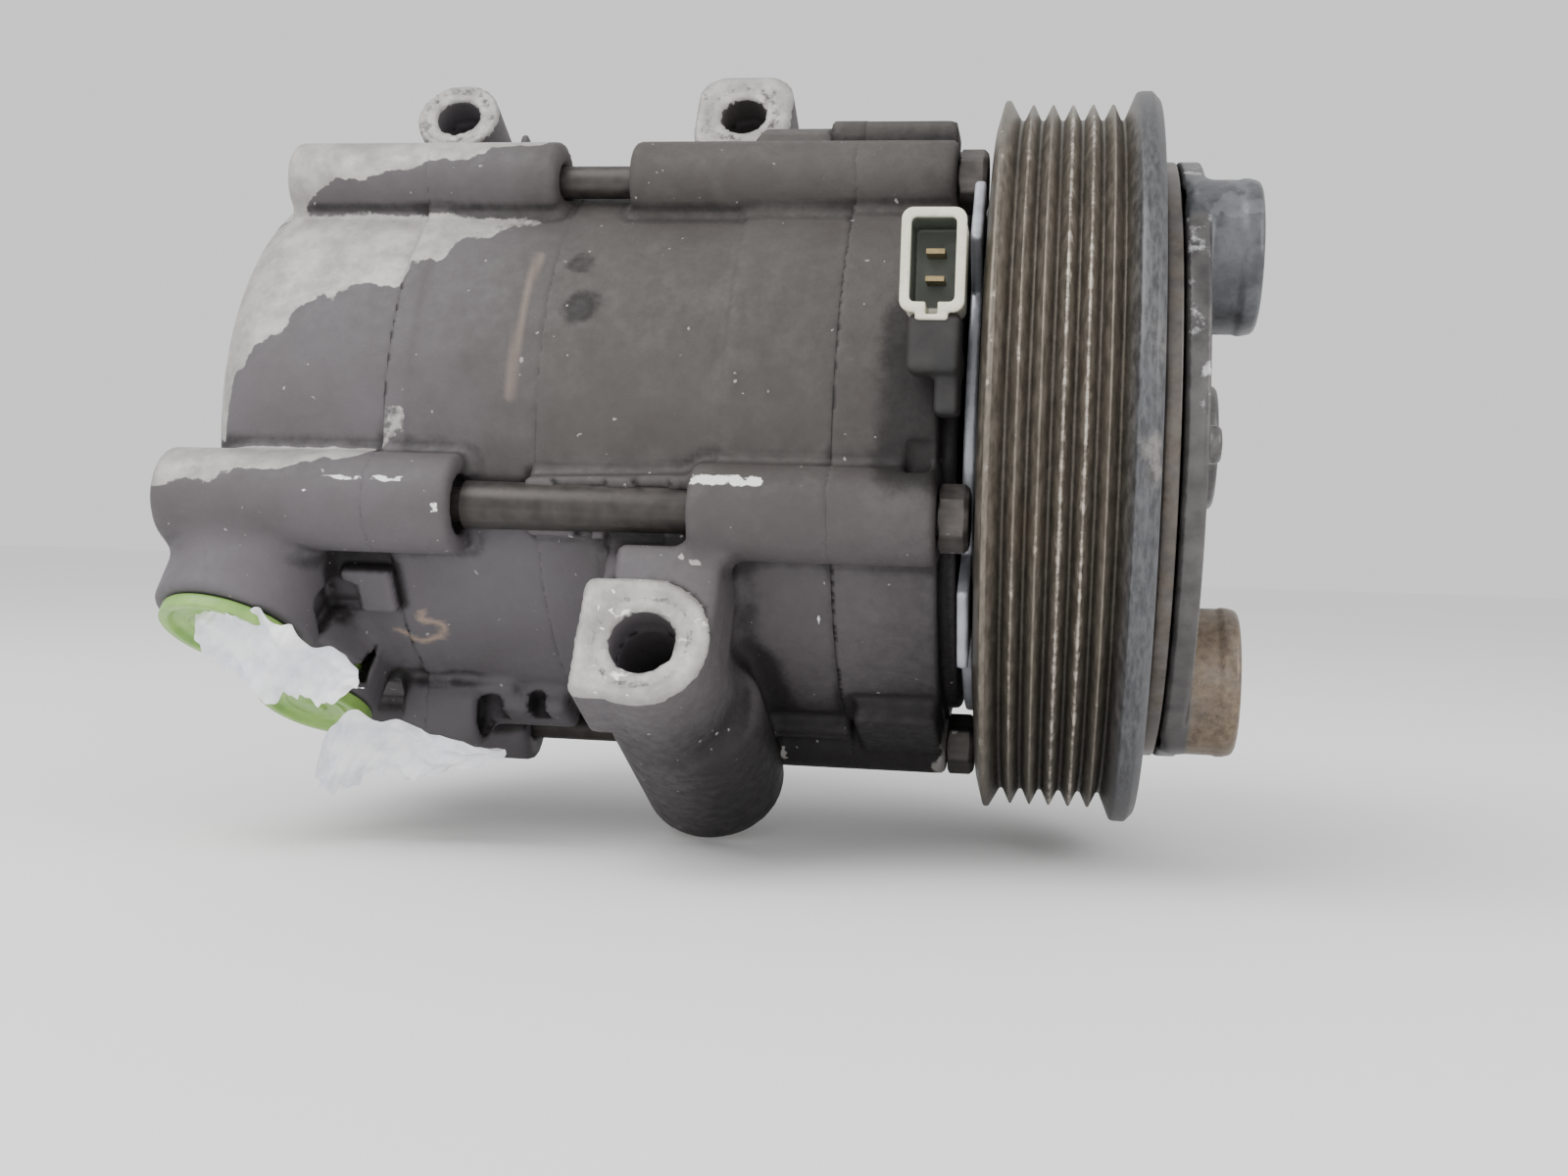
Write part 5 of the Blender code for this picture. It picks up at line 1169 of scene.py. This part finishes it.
def makeFilm(name, c):
    rows, columns = 130, 60
    v, u = np.meshgrid(np.linspace(0, 1, rows), np.linspace(-0.5, 0.5, columns), indexing="ij")
    v, u = v.ravel(), u.ravel()
    knots = np.concatenate((np.array(c["path"]), np.array(c["width"])[:, None]), 1)
    curve = smoothPath(knots, v)
    seed = c["seed"]
    torn = 0.13 * np.sin(v * 17 + seed) + 0.09 * np.sin(v * 43 + 2 * seed) + 0.04 * np.sin(v * 97 + seed)
    torn = np.where(u > 0, torn, 0.12 * np.sin(v * 29 + seed))
    width = curve[:, 3] * (1 + torn * np.abs(u) * 2)
    across, normal = unit(c["across"]), unit(np.cross(c["across"], (1, 0, -0.15)))
    crease = np.sin(v * 13 + u * 5 + seed) + 0.55 * np.sin(v * 27 - u * 9 + 2 * seed)
    crease += 0.40 * np.abs(np.sin(v * 33 + u * 12)) + 0.35 * np.sin(u * 17 - v * 9)
    hang = c["crease"] * crease * (0.45 + 0.55 * np.abs(u) * 2)
    verts = curve[:, :3] + across * (u * width)[:, None] + normal * hang[:, None]
    i, j = np.meshgrid(np.arange(rows - 1), np.arange(columns - 1), indexing="ij")
    first = (i * columns + j).ravel()
    quads = np.stack((first, first + 1, first + columns + 1, first + columns), -1)
    area = np.linalg.norm(np.cross(verts[quads[:, 2]] - verts[quads[:, 0]],
                                   verts[quads[:, 3]] - verts[quads[:, 1]]), axis=1).sum() / 2
    film = makeMesh(f"{name}Film", verts, [quads], f"{name}_closure", milkyFilm)
    ownsNode(f"{name}_film")
    print(name, "film", c["flat"], "mm, its mesh", round(area), "square mm of", c["area"])


for name, c in films.items():
    makeFilm(name, c)

# The nodes inside keep their own meshes and get a finish: the first row with a word of the node's name
keptFinishes = (
    (blackRubber, ("rubber_damper", "shaft_seal")),
    (castAluminium, ("piston",)),
    (copperWire, ("coil_winding",)),
    (brassMetal, ("terminal",)),
    (groundSteel, ("shaft", "swash_plate", "shoe", "valve_plate", "reed_sheet", "bearing", "snap_ring",
                   "clutch_shim")),
)
for name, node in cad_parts.items():
    found = [look for look, words in keptFinishes if any(word in name for word in words)]
    if found:
        node.data.materials.clear()
        node.data.materials.append(found[0])
print("finishes")

cameraAim = {
    "place": (149.18, -330.8, -21.34), "lens": 39.09,  # millimetres
    "turn": 0.1558, "tip": -0.0149, "roll": -0.0337,  # radians
}


def makeCamera():
    cy, sy = math.cos(cameraAim["turn"]), math.sin(cameraAim["turn"])
    ct, st = math.cos(cameraAim["tip"]), math.sin(cameraAim["tip"])
    cr, sr = math.cos(cameraAim["roll"]), math.sin(cameraAim["roll"])
    yaw = np.array(((cy, -sy, 0), (sy, cy, 0), (0, 0, 1)))
    pitch = np.array(((1, 0, 0), (0, ct, -st), (0, st, ct)))
    roll = np.array(((cr, 0, sr), (0, 1, 0), (-sr, 0, cr)))
    turn = yaw @ pitch @ roll
    data = bpy.data.cameras.new("camera")
    data.lens, data.sensor_width = cameraAim["lens"], 36.0
    data.clip_start, data.clip_end = 0.01, 50.0
    camera = bpy.data.objects.new("camera", data)
    whole = np.eye(4)
    whole[:3, :3] = np.stack((turn[:, 0], turn[:, 2], -turn[:, 1]), -1)
    whole[:3, 3] = np.array(cameraAim["place"]) * mm
    camera.matrix_world = Matrix(whole.tolist())
    bpy.context.scene.collection.objects.link(camera)
    bpy.context.scene.camera = camera


def makeLight(name, place, target, size, power, colour=(1, 1, 1)):
    data = bpy.data.lights.new(name, "AREA")
    data.size, data.energy, data.color = size, power, colour
    light = bpy.data.objects.new(name, data)
    light.location = place
    light.rotation_euler = (Vector(target) - Vector(place)).to_track_quat("-Z", "Y").to_euler()
    bpy.context.scene.collection.objects.link(light)


makeCamera()
makeLight("topLeft", (-0.35, -0.45, 0.75), (0.08, 0, 0), 0.7, 8.0)
makeLight("front", (0.25, -1.1, 0.25), (0.08, 0, 0), 0.9, 3.0)
makeLight("right", (0.9, -0.3, 0.35), (0.12, 0, 0), 0.5, 2.5)
world = bpy.data.worlds.new("studio")
bpy.context.scene.world = world
world.use_nodes = True
world.node_tree.nodes["Background"].inputs["Color"].default_value = (1.0, 1.0, 1.0, 1.0)
world.node_tree.nodes["Background"].inputs["Strength"].default_value = 1.0

# Floor: a wide pale sheet half a millimetre under the lowest point
floorMesh = bpy.data.meshes.new("floor")
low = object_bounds()[0][2] - 0.0005
floorMesh.from_pydata([(-9, -9, low), (9, -9, low), (9, 9, low), (-9, 9, low)], [], [(0, 1, 2, 3)])
floorPiece = bpy.data.objects.new("floor", floorMesh)
bpy.context.scene.collection.objects.link(floorPiece)
pale = Nodes("paleFloor")
pale.colour(pale.blend(pale.span(pale.noise(400, 2.0), 0.3, 0.7), (0.92, 0.92, 0.92), (0.94, 0.94, 0.94)))
pale.rough(0.9)
floorMesh.materials.append(pale.material)

print("scene done")
